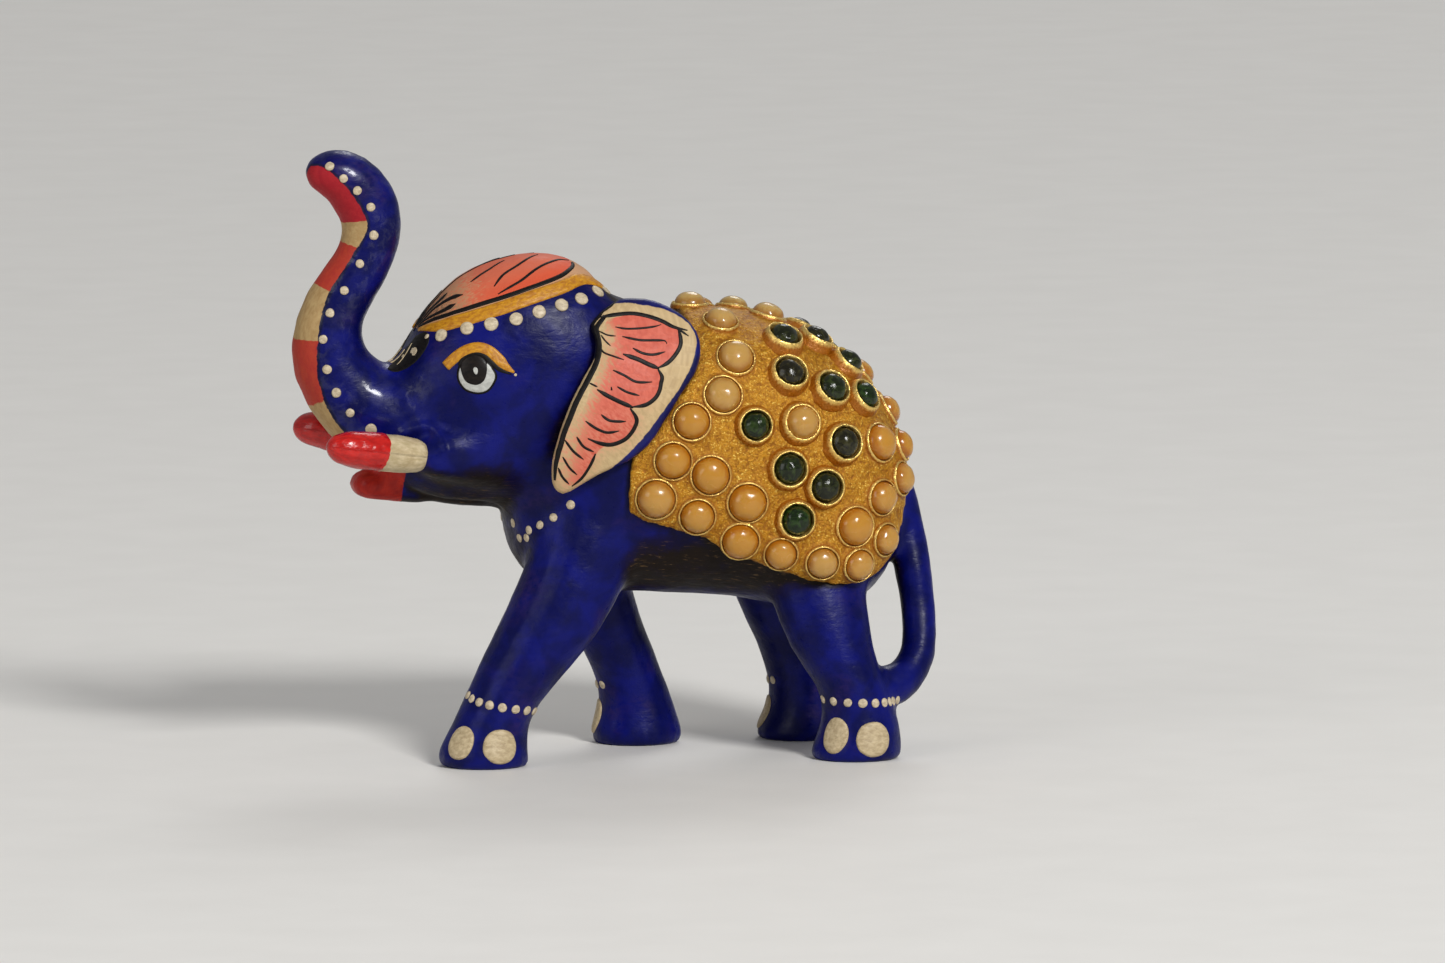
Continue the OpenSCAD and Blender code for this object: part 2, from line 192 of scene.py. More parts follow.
def degrees_of(edges, count):
    return np.maximum(np.bincount(edges.ravel(), minlength=count), 1).astype(float)


def soften(mesh, rounds, fill, shave, still=None):
    """Smooths a mesh: hollows fill at the rate fill, and bulges wear down at the rate shave."""
    edges = edges_of(mesh)
    points = points_of(mesh)
    degree = degrees_of(edges, len(points))
    for _ in range(rounds):
        set_points(mesh, points)
        pull = neighbour_mean(points, edges, degree) - points
        outward = (pull * normals_of(mesh)).sum(1)
        rate = np.where(outward > 0, fill, shave)
        if still is not None:
            rate = rate * (1 - still(points))
        points = points + pull * rate[:, None]
    set_points(mesh, points)


def even_out(values, edges, rounds):
    """Evens the values of neighbouring points out."""
    degree = degrees_of(edges, len(values))
    for _ in range(rounds):
        values = (values + neighbour_mean(values, edges, degree)) / 2
    return values


def keep_values(mesh, name, values):
    """Stores one number, or one row of three, for each point of the mesh."""
    kind = "FLOAT" if values.ndim == 1 else "FLOAT_VECTOR"
    layer = mesh.attributes.new(name, kind, "POINT")
    layer.data.foreach_set("value" if values.ndim == 1 else "vector", values.astype(np.float32).ravel())


def fix_normals(mesh):
    """Turns every face of the mesh outwards."""
    work = bmesh.new()
    work.from_mesh(mesh)
    bmesh.ops.recalc_face_normals(work, faces=work.faces)
    work.to_mesh(mesh)
    work.free()


def join_into(mesh, part):
    """Adds an object's mesh to this one and drops the object."""
    work = bmesh.new()
    work.from_mesh(mesh)
    work.from_mesh(part.data)
    work.to_mesh(mesh)
    work.free()
    bpy.data.objects.remove(part)


def remeshed_copy(node, name, voxel, material, extra=()):
    """A copy of a CAD node, grown together with any extra closed shapes, as an even, closed mesh."""
    mesh = CAD[node].data.copy()
    for shape in extra:
        join_into(mesh, shape)
    mesh.materials.clear()
    mesh.materials.append(material)
    thing = bpy.data.objects.new(name, mesh)
    bpy.context.collection.objects.link(thing)
    weld = thing.modifiers.new("weld", "WELD")
    weld.merge_threshold = 0.01 * UNIT
    even = thing.modifiers.new("even", "REMESH")
    even.mode = "VOXEL"
    even.voxel_size = voxel * UNIT
    even.use_smooth_shade = True
    return thing, apply_modifiers(thing)


def curve_through(points, count, closed=False):
    """Evenly spaced points on a smooth curve through the given ones."""
    rows = np.asarray(points, float)
    last = len(rows) if closed else len(rows) - 1
    fine = []
    for i in range(last):
        if closed:
            a, b, c, d = (rows[(i + k) % len(rows)] for k in (-1, 0, 1, 2))
        else:
            a, b, c, d = rows[max(i - 1, 0)], rows[i], rows[i + 1], rows[min(i + 2, last)]
        for t in np.arange(0, 1, 0.0625):
            fine.append((2 * b + (c - a) * t + (2 * a - 5 * b + 4 * c - d) * t**2
                         + (3 * b - a - 3 * c + d) * t**3) / 2)
    fine.append(rows[0] if closed else rows[-1])
    fine = np.array(fine)
    run = np.concatenate([[0], np.cumsum(np.linalg.norm(np.diff(fine, axis=0), axis=1))])
    wanted = np.linspace(0, run[-1], count + 1 if closed else count)
    if closed:
        wanted = wanted[:-1]
    return np.stack([np.interp(wanted, run, fine[:, i]) for i in range(rows.shape[1])], 1)


def distance_to_path(points, path):
    """Distance from each point to a bent line, and how far along the line the nearest place is."""
    best = np.full(len(points), 1e9)
    along = np.zeros(len(points))
    start = 0.0
    for a, b in zip(path[:-1], path[1:]):
        step = b - a
        length = np.linalg.norm(step)
        t = np.clip(((points - a) @ step) / max(length**2, 1e-12), 0, 1)
        gap = np.linalg.norm(points - (a + t[:, None] * step), axis=1)
        nearer = gap < best
        best = np.where(nearer, gap, best)
        along = np.where(nearer, start + t * length, along)
        start += length
    return best, along


def inside_outline(points, outline):
    """Signed distance from flat points to a closed outline, positive inside it."""
    closed = np.vstack([outline, outline[:1]])
    gap, _ = distance_to_path(points, closed)
    inside = np.zeros(len(points), bool)
    for a, b in zip(closed[:-1], closed[1:]):
        spans = (a[1] > points[:, 1]) != (b[1] > points[:, 1])
        rise = b[1] - a[1] if b[1] != a[1] else 1e-12
        inside ^= spans & (points[:, 0] < (b[0] - a[0]) * (points[:, 1] - a[1]) / rise + a[0])
    return np.where(inside, gap, -gap)


def along_and_off(points, start, axis):
    """How far each point is along an axis from its start, and how far off the axis."""
    away = points - start
    run = away @ axis
    return run, np.linalg.norm(away - run[:, None] * axis, axis=1)


def gap_from(points, spot, stretch=(1.0, 1.0, 1.0)):
    """Each point's distance from a spot, each direction divided by its stretch."""
    return np.linalg.norm((points - np.array(spot)) / np.array(stretch), axis=1)


def bump_of(gap, reach):
    """1 at no gap, fading to nothing past about twice the reach."""
    return np.exp(-((gap / reach) ** 2))


def noise_of(points, scale, offset=0.0):
    """Smooth noise from about -1 to 1, with features about scale units wide."""
    shift = Vector((offset, offset * 1.7, -offset))
    return np.array([noise.noise(Vector(p) / scale + shift) for p in points])


class Skin:
    """A finished surface that paint is laid on. Places are in figure units."""

    def __init__(self, thing):
        mesh = thing.data
        self.tree = BVHTree.FromPolygons(
            [v.co.copy() for v in mesh.vertices], [tuple(p.vertices) for p in mesh.polygons]
        )

    def nearest(self, place):
        spot, normal, _, _ = self.tree.find_nearest(Vector(place) * UNIT)
        return spot / UNIT, normal

    def cast(self, place, direction):
        spot, normal, _, _ = self.tree.ray_cast(Vector(place) * UNIT, Vector(direction))
        if spot is None:
            return self.nearest(place)
        return spot / UNIT, normal

    def from_side(self, x, z, side):
        """The surface as met from the left (side -1) or the right (side 1)."""
        return self.cast((x, side * 60, z), (0, -side, 0))


# ---------------------------------------------------------------- paint laid on a surface

# how far paint stands out at its edge, and how far it reaches into the surface under it
THINNEST_PAINT = 0.03
PAINT_ROOT = 0.15


class PaintPile:
    """Collects raised strokes and patches of one paint, and makes them one piece."""

    def __init__(self):
        self.points = []
        self.faces = []
        self.flow = []

    def add_sheet(self, grid, lifted, sunk, flow, ring):
        """Adds a closed sheet from a grid of surface places: an open strip, or rings round a middle."""
        rows = len(grid)
        columns = len(grid[0])
        size = rows * columns
        start = len(self.points)
        for layer in (lifted, sunk):
            for r in range(rows):
                for c in range(columns):
                    spot, normal = grid[r][c]
                    self.points.append((spot + normal * layer[r]) * UNIT)
                    self.flow.append(flow[r][c])
        steps = columns if ring else columns - 1
        for r in range(rows - 1):
            for c in range(steps):
                a = start + r * columns + c
                b = start + r * columns + (c + 1) % columns
                self.faces.append((a, b, b + columns, a + columns))
                self.faces.append((a + size, a + columns + size, b + columns + size, b + size))
        outer = [start + (rows - 1) * columns + c for c in range(columns)]
        inner = [start + c for c in range(columns)]
        if ring:
            self.faces.append(tuple(inner[::-1]))
            self.faces.append(tuple(i + size for i in inner))
            edge = outer + outer[:1]
        else:
            right = [start + r * columns + columns - 1 for r in range(rows)]
            left = [start + r * columns for r in range(rows)]
            edge = inner + right[1:] + outer[::-1][1:] + left[::-1][1:]
        for a, b in zip(edge[:-1], edge[1:]):
            self.faces.append((b, a, a + size, b + size))

    def stroke(self, skin, centre, half_width, height, spread=7):
        """A brush stroke along surface places; half_width takes 0 at one end to 1 at the other."""
        places = [skin.nearest(p) for p in centre]
        last = len(places) - 1
        grid = []
        flow = []
        run = 0.0
        for i, (spot, normal) in enumerate(places):
            ahead = places[min(i + 1, last)][0] - places[max(i - 1, 0)][0]
            side = normal.cross(ahead).normalized()
            half = half_width(i / last)
            if i:
                run += (spot - places[i - 1][0]).length
            across = [half * (2 * k / (spread - 1) - 1) for k in range(spread)]
            grid.append([skin.nearest(spot + side * u) for u in across])
            flow.append([(run, u, 0) for u in across])
        self.add_strip(grid, flow, height)

    def add_strip(self, grid, flow, height):
        """Turns the strip so that its rows run along the stroke, each with its own lift."""
        spread = len(grid[0])
        turned = [[row[k] for row in grid] for k in range(spread)]
        turned_flow = [[row[k] for row in flow] for k in range(spread)]
        crown = []
        for k in range(spread):
            u = 2 * k / (spread - 1) - 1
            crown.append(max(height * math.sqrt(max(1 - u**4, 0)), THINNEST_PAINT))
        self.add_sheet(turned, crown, [-PAINT_ROOT] * spread, turned_flow, ring=False)

    def patch(self, skin, outline, height, rings=8):
        """A filled patch with a rounded edge inside a closed outline of surface places."""
        outline = [Vector(p) for p in outline]
        middle = sum(outline, Vector()) / len(outline)
        grid = []
        lifted = []
        flow = []
        for k in range(rings + 1):
            share = 0.04 + 0.96 * (k / rings) ** 0.75
            ring = [middle + (p - middle) * share for p in outline]
            grid.append([skin.nearest(p) for p in ring])
            lifted.append(max(height * math.sqrt(1 - share**8), THINNEST_PAINT))
            flow.append([tuple(p) for p in ring])
        self.add_sheet(grid, lifted, [-PAINT_ROOT] * (rings + 1), flow, ring=True)

    def piece(self, name, material, slot):
        thing = make_object(name, self.points, self.faces, material)
        fix_normals(thing.data)
        keep_values(thing.data, "flow", np.array(self.flow, float))
        place_piece(thing, slot)
        return thing


# ---------------------------------------------------------------- node helpers


def fill_socket(tree, socket, value):
    """Links a socket to another one, or sets its value."""
    if isinstance(value, bpy.types.NodeSocket):
        tree.links.new(value, socket)
    else:
        socket.default_value = value


def add_node(tree, kind, settings=None, **inputs):
    """Adds a node and fills its inputs, which are named, or numbered as i0, i1 and so on."""
    node = tree.nodes.new(kind)
    for key, value in (settings or {}).items():
        setattr(node, key, value)
    for key, value in inputs.items():
        numbered = key[0] == "i" and key[1:].isdigit()
        place = int(key[1:]) if numbered else key.replace("_", " ")
        fill_socket(tree, node.inputs[place], value)
    return node


def maths(tree, operation, a, b=0.0, clamp=False):
    node = add_node(tree, "ShaderNodeMath", {"operation": operation, "use_clamp": clamp}, i0=a, i1=b)
    return node.outputs[0]


def times(tree, a, b, clamp=False):
    return maths(tree, "MULTIPLY", a, b, clamp)


def plus(tree, a, b):
    return maths(tree, "ADD", a, b)


def minus(tree, a, b):
    return maths(tree, "SUBTRACT", a, b)


def swing(tree, value, reach):
    """A value from 0 to 1, moved to run from minus half of reach to plus half of it."""
    return times(tree, minus(tree, value, 0.5), reach)


def mixed(tree, factor, a, b):
    """Colour a at factor 0 and colour b at factor 1."""
    node = add_node(tree, "ShaderNodeMix", {"data_type": "RGBA"}, i0=factor, i6=a, i7=b)
    return node.outputs[2]


def ranged(tree, value, low, high, first, last):
    """first where the value is low, last where it is high, and in step between them."""
    node = add_node(
        tree, "ShaderNodeMapRange", None,
        Value=value, From_Min=low, From_Max=high, To_Min=first, To_Max=last,
    )
    return node.outputs["Result"]


def between(tree, value, low, high, smooth=True):
    """0 below low, 1 above high."""
    kind = {"interpolation_type": "SMOOTHSTEP" if smooth else "LINEAR"}
    node = add_node(tree, "ShaderNodeMapRange", kind, Value=value, From_Min=low, From_Max=high)
    return node.outputs["Result"]


def attribute(tree, name, vector=False):
    node = add_node(tree, "ShaderNodeAttribute", {"attribute_name": name})
    return node.outputs["Vector" if vector else "Fac"]


def stretched(tree, place, scale):
    return add_node(tree, "ShaderNodeMapping", None, Vector=place, Scale=scale).outputs["Vector"]


def object_place(tree):
    """Object coordinates in figure units."""
    here = add_node(tree, "ShaderNodeTexCoord").outputs["Object"]
    return stretched(tree, here, (1 / UNIT, 1 / UNIT, 1 / UNIT))


def noise_at(tree, place, scale, detail=3.0, rough=0.5, distortion=0.0):
    node = add_node(
        tree, "ShaderNodeTexNoise", None,
        Vector=place, Scale=scale, Detail=detail, Roughness=rough, Distortion=distortion,
    )
    return node.outputs["Fac"]


def group_socket(tree, name, out=False, kind="NodeSocketFloat", value=None):
    socket = tree.interface.new_socket(name, in_out="OUTPUT" if out else "INPUT", socket_type=kind)
    if value is not None:
        socket.default_value = value


def start_group(name, inputs, outputs):
    """A shader group: its inputs with their starting values, None for a place, and its outputs."""
    tree = bpy.data.node_groups.new(name, "ShaderNodeTree")
    for word, value in inputs.items():
        group_socket(tree, word, kind="NodeSocketVector" if value is None else "NodeSocketFloat", value=value)
    for word in outputs:
        group_socket(tree, word, out=True)
    return tree, tree.nodes.new("NodeGroupInput").outputs, tree.nodes.new("NodeGroupOutput").inputs


def use_group(tree, name, **inputs):
    return add_node(tree, "ShaderNodeGroup", {"node_tree": bpy.data.node_groups[name]}, **inputs)


def build_brush_group():
    """Brush marks: streaks along the first axis of Place, with pits and beads of thick paint."""
    given = {"Place": None, "Streak Width": 0.4}
    tree, inside, outside = start_group("brush_marks", given, ["Streak", "Cloud", "Height"])
    place = inside["Place"]
    drawn = stretched(tree, place, (0.5, 1, 1))
    streak = noise_at(tree, drawn, maths(tree, "DIVIDE", 0.6, inside["Streak Width"]), 4, 0.6, 0.3)
    cloud = noise_at(tree, place, 0.16, 3, 0.55, 0.4)
    bead = noise_at(tree, place, 1.4, 2, 0.5)
    height = plus(tree, times(tree, streak, 0.75), times(tree, bead, 0.25))
    tree.links.new(streak, outside["Streak"])
    tree.links.new(cloud, outside["Cloud"])
    tree.links.new(height, outside["Height"])


def build_edge_group():
    """A painted edge: 1 where Inside is positive, with a hand-brushed wobble."""
    given = {"Inside": 0.0, "Place": None, "Wobble": 0.15, "Softness": 0.06}
    tree, inside, outside = start_group("painted_edge", given, ["Mask"])
    waves = noise_at(tree, inside["Place"], 0.9, 3, 0.6)
    sway = swing(tree, waves, inside["Wobble"])
    level = plus(tree, inside["Inside"], times(tree, sway, 2.0))
    soft = inside["Softness"]
    mask = between(tree, level, times(tree, soft, -1.0), soft)
    tree.links.new(mask, outside["Mask"])


def build_shade_and_grime_group():
    """Painted shade and a thin dark wash that gather in hollows: Mask from the stored hollow and a broken
    edge.
    """
    given = {"Hollow": 0.0, "Place": None, "Amount": 1.0}
    tree, inside, outside = start_group("shade_and_grime", given, ["Mask", "Scratch"])
    place = inside["Place"]
    patch = noise_at(tree, place, 0.35, 4, 0.65)
    level = plus(tree, inside["Hollow"], swing(tree, patch, 0.7))
    mask = times(tree, between(tree, level, 0.25, 1.15), inside["Amount"], clamp=True)
    drawn = stretched(tree, place, (0.25, 2.2, 2.2))
    scratch = between(tree, noise_at(tree, drawn, 1.0, 5, 0.75), 0.56, 0.68)
    tree.links.new(mask, outside["Mask"])
    tree.links.new(scratch, outside["Scratch"])


def new_material(name):
    material = bpy.data.materials.new(name)
    material.use_nodes = True
    tree = material.node_tree
    shader = tree.nodes["Principled BSDF"]
    return material, tree, shader


def set_shader(tree, shader, **inputs):
    for key, value in inputs.items():
        fill_socket(tree, shader.inputs[key.replace("_", " ")], value)


def bumped(tree, height, depth):
    node = add_node(tree, "ShaderNodeBump", None, Height=height, Strength=1.0, Distance=depth * UNIT)
    return node.outputs["Normal"]


def rgb(r, g, b):
    return (r, g, b, 1)


# ---------------------------------------------------------------- paints and finishes

DEEP_BLUE = rgb(0.0010, 0.0022, 0.055)
BRIGHT_BLUE = rgb(0.0026, 0.0050, 0.130)
PURPLE_LIGHT = rgb(0.020, 0.010, 0.085)
# The next two colours are painted shade for hollows and undersides; the darker one also stands for a dark
# wash.
DUSKY_BLUE = rgb(0.0035, 0.0018, 0.030)
SHADE_AND_GRIME = rgb(0.008, 0.004, 0.002)
BARE_SCRATCH = rgb(0.260, 0.150, 0.060)
STRIPE_RED = rgb(0.400, 0.045, 0.022)
STRIPE_WHITE = rgb(0.450, 0.310, 0.140)
TIP_RED = rgb(0.360, 0.016, 0.022)
LIP_RED = rgb(0.460, 0.024, 0.012)
CAP_PINK = rgb(0.580, 0.125, 0.065)
CAP_RED = rgb(0.600, 0.070, 0.025)
CAP_CREAM = rgb(0.500, 0.270, 0.140)
EAR_PINK = rgb(0.610, 0.130, 0.080)
EAR_CREAM = rgb(0.550, 0.400, 0.210)


def blue_lacquer(tree, place):
    """Colour, roughness and bump height of the brushed ultramarine."""
    brush = use_group(tree, "brush_marks", Place=place, Streak_Width=0.5)
    colour = mixed(tree, between(tree, brush.outputs["Cloud"], 0.35, 0.7), DEEP_BLUE, BRIGHT_BLUE)
    worn = between(tree, noise_at(tree, place, 0.09, 2, 0.5, 0.6), 0.55, 0.72)
    streaky = times(tree, worn, between(tree, brush.outputs["Streak"], 0.3, 0.7))
    colour = mixed(tree, times(tree, streaky, 0.75), colour, PURPLE_LIGHT)
    rough = ranged(tree, brush.outputs["Streak"], 0.3, 0.7, 0.26, 0.44)
    return colour, rough, brush.outputs["Height"]


def painted_mask(tree, name, place, wobble=0.15, softness=0.07):
    """Where the stored distance of this name is positive, with a brushed edge."""
    stored_distance = attribute(tree, name)
    mask = use_group(
        tree, "painted_edge", Inside=stored_distance, Place=place, Wobble=wobble, Softness=softness
    )
    return mask.outputs["Mask"]


def make_body_paint():
    material, tree, shader = new_material("painted_body")
    place = object_place(tree)
    colour, rough, height = blue_lacquer(tree, place)

    # Painted shade and a dark wash in hollows, undersides and legs' fronts, with bare scratches showing in
    # the darkest of it.
    shade_and_grime = use_group(tree, "shade_and_grime", Hollow=attribute(tree, "hollow"), Place=place, Amount=1.0)
    dark = shade_and_grime.outputs["Mask"]
    colour = mixed(tree, between(tree, dark, 0.0, 0.45), colour, DUSKY_BLUE)
    colour = mixed(tree, between(tree, dark, 0.40, 0.95), colour, SHADE_AND_GRIME)
    scratched = times(tree, between(tree, dark, 0.3, 0.9), shade_and_grime.outputs["Scratch"])
    colour = mixed(tree, times(tree, scratched, 0.40), colour, BARE_SCRATCH)

    flow = attribute(tree, "trunk_flow", vector=True)
    brush = use_group(tree, "brush_marks", Place=flow, Streak_Width=0.35)
    tone = between(tree, brush.outputs["Streak"], 0.25, 0.75)
    red = mixed(tree, tone, rgb(0.36, 0.03, 0.022), STRIPE_RED)
    white = mixed(tree, tone, rgb(0.34, 0.21, 0.085), STRIPE_WHITE)
    stripes = mixed(tree, painted_mask(tree, "stripe_red", place, 0.25), white, red)
    tip = mixed(tree, tone, rgb(0.30, 0.010, 0.018), TIP_RED)
    stripes = mixed(tree, painted_mask(tree, "trunk_tip", place, 0.25), stripes, tip)
    front = attribute(tree, "trunk_front")
    seam = between(tree, front, -0.75, -0.25)
    colour = mixed(tree, times(tree, seam, 0.75), colour, rgb(0.003, 0.003, 0.014))
    on_front = painted_mask(tree, "trunk_front", place, 0.35)
    colour = mixed(tree, on_front, colour, stripes)

    flow = attribute(tree, "cap_flow", vector=True)
    hair = use_group(tree, "brush_marks", Place=flow, Streak_Width=0.22)
    strand = hair.outputs["Streak"]
    rear = between(tree, attribute(tree, "cap_run"), 4.0, 16.0)
    pinkness = between(tree, plus(tree, strand, times(tree, rear, 0.5)), 0.47, 0.78)
    petal = mixed(tree, pinkness, CAP_CREAM, CAP_PINK)
    low_petal = between(tree, attribute(tree, "cap_high"), 3.2, 0.6)
    reddish = times(tree, times(tree, low_petal, rear), 0.7)
    petal = mixed(tree, reddish, petal, CAP_RED)
    fore = between(tree, attribute(tree, "cap_run"), 9.0, 0.5)
    dark_hair = times(tree, between(tree, strand, 0.60, 0.44), fore)
    petal = mixed(tree, times(tree, dark_hair, 0.85), petal, rgb(0.03, 0.012, 0.01))
    petal = mixed(tree, painted_mask(tree, "cap_rear", place), petal, CAP_CREAM)
    on_cap = painted_mask(tree, "cap", place, 0.2)
    colour = mixed(tree, on_cap, colour, petal)

    on_lip = painted_mask(tree, "lip", place, 0.3)
    colour = mixed(tree, on_lip, colour, mixed(tree, tone, rgb(0.28, 0.012, 0.010), LIP_RED))

    matte = maths(tree, "MAXIMUM", maths(tree, "MAXIMUM", on_front, on_cap), times(tree, dark, 0.6))
    rough = plus(tree, rough, times(tree, matte, 0.16))
    dab = between(tree, noise_at(tree, place, 0.42, 4, 0.7, 0.8), 0.46, 0.60)
    shiny = times(tree, times(tree, attribute(tree, "gloss"), dab), 0.5)
    coat = times(tree, shiny, minus(tree, 1.0, matte), clamp=True)
    set_shader(
        tree, shader, Base_Color=colour, Roughness=rough, Normal=bumped(tree, height, 0.10),
        Coat_Weight=coat, Coat_Roughness=0.12, Specular_IOR_Level=0.14,
    )
    return material


def make_ear_paint():
    material, tree, shader = new_material("painted_ear")
    place = object_place(tree)
    blue, rough, height = blue_lacquer(tree, place)
    # Painted shade where the ear sits against the head and saddle.
    shade_and_grime = use_group(tree, "shade_and_grime", Hollow=attribute(tree, "hollow"), Place=place, Amount=0.8)
    blue = mixed(tree, shade_and_grime.outputs["Mask"], blue, SHADE_AND_GRIME)

    flow = attribute(tree, "petal_flow", vector=True)
    hair = use_group(tree, "brush_marks", Place=flow, Streak_Width=0.3)
    strand = hair.outputs["Streak"]
    cream = mixed(tree, between(tree, strand, 0.25, 0.7), rgb(0.42, 0.29, 0.14), EAR_CREAM)
    run = attribute(tree, "petal_run")
    inked = plus(tree, between(tree, run, 0.0, 6.0, smooth=False), times(tree, strand, 1.3))
    fullness = between(tree, inked, 0.62, 1.25)
    pink = mixed(tree, between(tree, strand, 0.3, 0.7), rgb(0.50, 0.085, 0.050), EAR_PINK)
    on_petal = painted_mask(tree, "petal", place, 0.12)
    field = mixed(tree, times(tree, fullness, on_petal), cream, pink)
    beside = between(tree, attribute(tree, "petal"), -2.4, 0.0)
    low = between(tree, attribute(tree, "petal_low"), 61.0, 56.0)
    blush = times(tree, times(tree, beside, low), between(tree, strand, 0.35, 0.7))
    field = mixed(tree, times(tree, blush, 0.6), field, rgb(0.56, 0.21, 0.13))
    on_field = painted_mask(tree, "ear_field", place, 0.22)
    colour = mixed(tree, on_field, blue, field)
    colour = mixed(tree, painted_mask(tree, "ear_foot", place, 0.25), colour, rgb(0.004, 0.003, 0.003))
    rough = plus(tree, rough, times(tree, on_field, 0.16))
    coat = ranged(tree, on_field, 0.0, 1.0, 0.06, 0.0)
    set_shader(
        tree, shader, Base_Color=colour, Roughness=rough, Normal=bumped(tree, height, 0.08),
        Coat_Weight=coat, Coat_Roughness=0.15, Specular_IOR_Level=0.25,
    )
    return material


def make_gilded_relief():
    material, tree, shader = new_material("gilded_relief")
    place = object_place(tree)
    crumb = noise_at(tree, place, 2.3, 3, 0.6, 0.3)
    fine = noise_at(tree, place, 3.6, 2, 0.6)
    crumb_height = attribute(tree, "crumb_height")
    # Painted shade darkens the lower crumbs, and painted highlights brighten the highest ones.
    level = plus(tree, times(tree, crumb, 0.75), times(tree, crumb_height, 0.25))
    colour = mixed(tree, between(tree, level, 0.34, 0.60), rgb(0.27, 0.095, 0.003), rgb(0.48, 0.215, 0.008))
    sparkle = times(tree, between(tree, fine, 0.56, 0.66), between(tree, level, 0.48, 0.58))
    colour = mixed(tree, sparkle, colour, rgb(0.90, 0.64, 0.14))
    broad = between(tree, noise_at(tree, place, 0.22, 2, 0.5), 0.40, 0.65)
    colour = mixed(tree, times(tree, broad, 0.15), colour, rgb(0.34, 0.125, 0.003))
    foot = attribute(tree, "stone_foot")
    amber = times(tree, between(tree, foot, 0.1, 0.9), 0.85)
    colour = mixed(tree, amber, colour, rgb(0.30, 0.095, 0.003))
    # Painted shade along the hem, where the saddle meets the body and ears.
    shade_and_grime = use_group(tree, "shade_and_grime", Hollow=attribute(tree, "hem"), Place=place, Amount=0.9)
    colour = mixed(tree, shade_and_grime.outputs["Mask"], colour, rgb(0.07, 0.032, 0.008))
    rough = ranged(tree, fine, 0.35, 0.65, 0.32, 0.55)
    height = plus(tree, times(tree, crumb, 0.75), times(tree, fine, 0.25))
    metal = ranged(tree, amber, 0.0, 0.85, 0.40, 0.15)
    set_shader(
        tree, shader, Base_Color=colour, Roughness=rough, Metallic=metal, Normal=bumped(tree, height, 0.40),
        Specular_IOR_Level=0.35,
    )
    return material


def make_gilt_collar():
    material, tree, shader = new_material("gilt_collar")
    place = object_place(tree)
    fine = noise_at(tree, place, 2.2, 3, 0.6, 0.5)
    wall = attribute(tree, "wall")
    lit = between(tree, plus(tree, wall, swing(tree, fine, 0.5)), 0.55, 0.9)
    amber = mixed(tree, fine, rgb(0.22, 0.060, 0.002), rgb(0.46, 0.16, 0.006))
    colour = mixed(tree, lit, amber, rgb(0.84, 0.58, 0.17))
    rough = ranged(tree, fine, 0.3, 0.7, 0.20, 0.42)
    metal = plus(tree, 0.25, times(tree, lit, 0.6))
    set_shader(
        tree, shader, Base_Color=colour, Roughness=rough, Metallic=metal, Normal=bumped(tree, fine, 0.14),
        Specular_IOR_Level=0.4,
    )
    return material


def make_cream_stone():
    material, tree, shader = new_material("cream_stone")
    place = object_place(tree)
    veil = noise_at(tree, place, 0.55, 3, 0.5, 0.8)
    dome = attribute(tree, "dome")
    tint = attribute(tree, "tint")
    # Painted reflection of the gold: each stone is painted darker amber towards its foot.
    level = plus(tree, dome, swing(tree, veil, 0.7))
    core = mixed(tree, tint, rgb(0.47, 0.335, 0.125), rgb(0.46, 0.215, 0.024))
    edge = mixed(tree, tint, rgb(0.31, 0.165, 0.032), rgb(0.36, 0.115, 0.003))
    colour = mixed(tree, between(tree, level, 0.25, 0.85), edge, core)
    rough = ranged(tree, veil, 0.3, 0.7, 0.16, 0.30)
    set_shader(
        tree, shader, Base_Color=colour, Roughness=rough, Normal=bumped(tree, veil, 0.05),
        Subsurface_Weight=0.35, Subsurface_Radius=(1.0, 0.55, 0.2), Subsurface_Scale=1.2 * UNIT,
        Coat_Weight=0.3, Coat_Roughness=0.10, Specular_IOR_Level=0.35,
    )
    return material


def make_green_stone():
    material, tree, shader = new_material("green_stone")
    place = object_place(tree)
    veil = noise_at(tree, place, 0.7, 4, 0.6, 1.2)
    tint = attribute(tree, "tint")
    dark = mixed(tree, tint, rgb(0.008, 0.0065, 0.002), rgb(0.004, 0.012, 0.002))
    light = mixed(tree, tint, rgb(0.034, 0.029, 0.008), rgb(0.016, 0.046, 0.006))
    colour = mixed(tree, between(tree, veil, 0.42, 0.68), dark, light)
    rough = ranged(tree, veil, 0.3, 0.7, 0.08, 0.2)
    set_shader(
        tree, shader, Base_Color=colour, Roughness=rough, Normal=bumped(tree, veil, 0.10),
        Coat_Weight=0.2, Coat_Roughness=0.06, Specular_IOR_Level=0.25,
    )
    return material


def make_tusk_paint():
    material, tree, shader = new_material("painted_tusk")
    place = object_place(tree)
    flow = attribute(tree, "tusk_flow", vector=True)
    brush = use_group(tree, "brush_marks", Place=flow, Streak_Width=0.5)
    tone = between(tree, brush.outputs["Streak"], 0.3, 0.7)
    blotch = between(tree, noise_at(tree, place, 0.5, 3, 0.6), 0.45, 0.72)
    ivory = mixed(tree, tone, rgb(0.42, 0.33, 0.18), rgb(0.60, 0.49, 0.31))
    ivory = mixed(tree, times(tree, blotch, 0.45), ivory, rgb(0.30, 0.20, 0.09))
    red = mixed(tree, tone, rgb(0.36, 0.004, 0.003), rgb(0.56, 0.010, 0.006))
    on_red = painted_mask(tree, "tusk_red", place, 0.45, 0.05)
    colour = mixed(tree, on_red, ivory, red)
    rough = ranged(tree, on_red, 0.0, 1.0, 0.42, 0.20)
    coat = ranged(tree, on_red, 0.0, 1.0, 0.0, 0.35)
    set_shader(
        tree, shader, Base_Color=colour, Roughness=rough, Normal=bumped(tree, brush.outputs["Height"], 0.14),
        Coat_Weight=coat, Coat_Roughness=0.12, Specular_IOR_Level=0.3,
    )
    return material


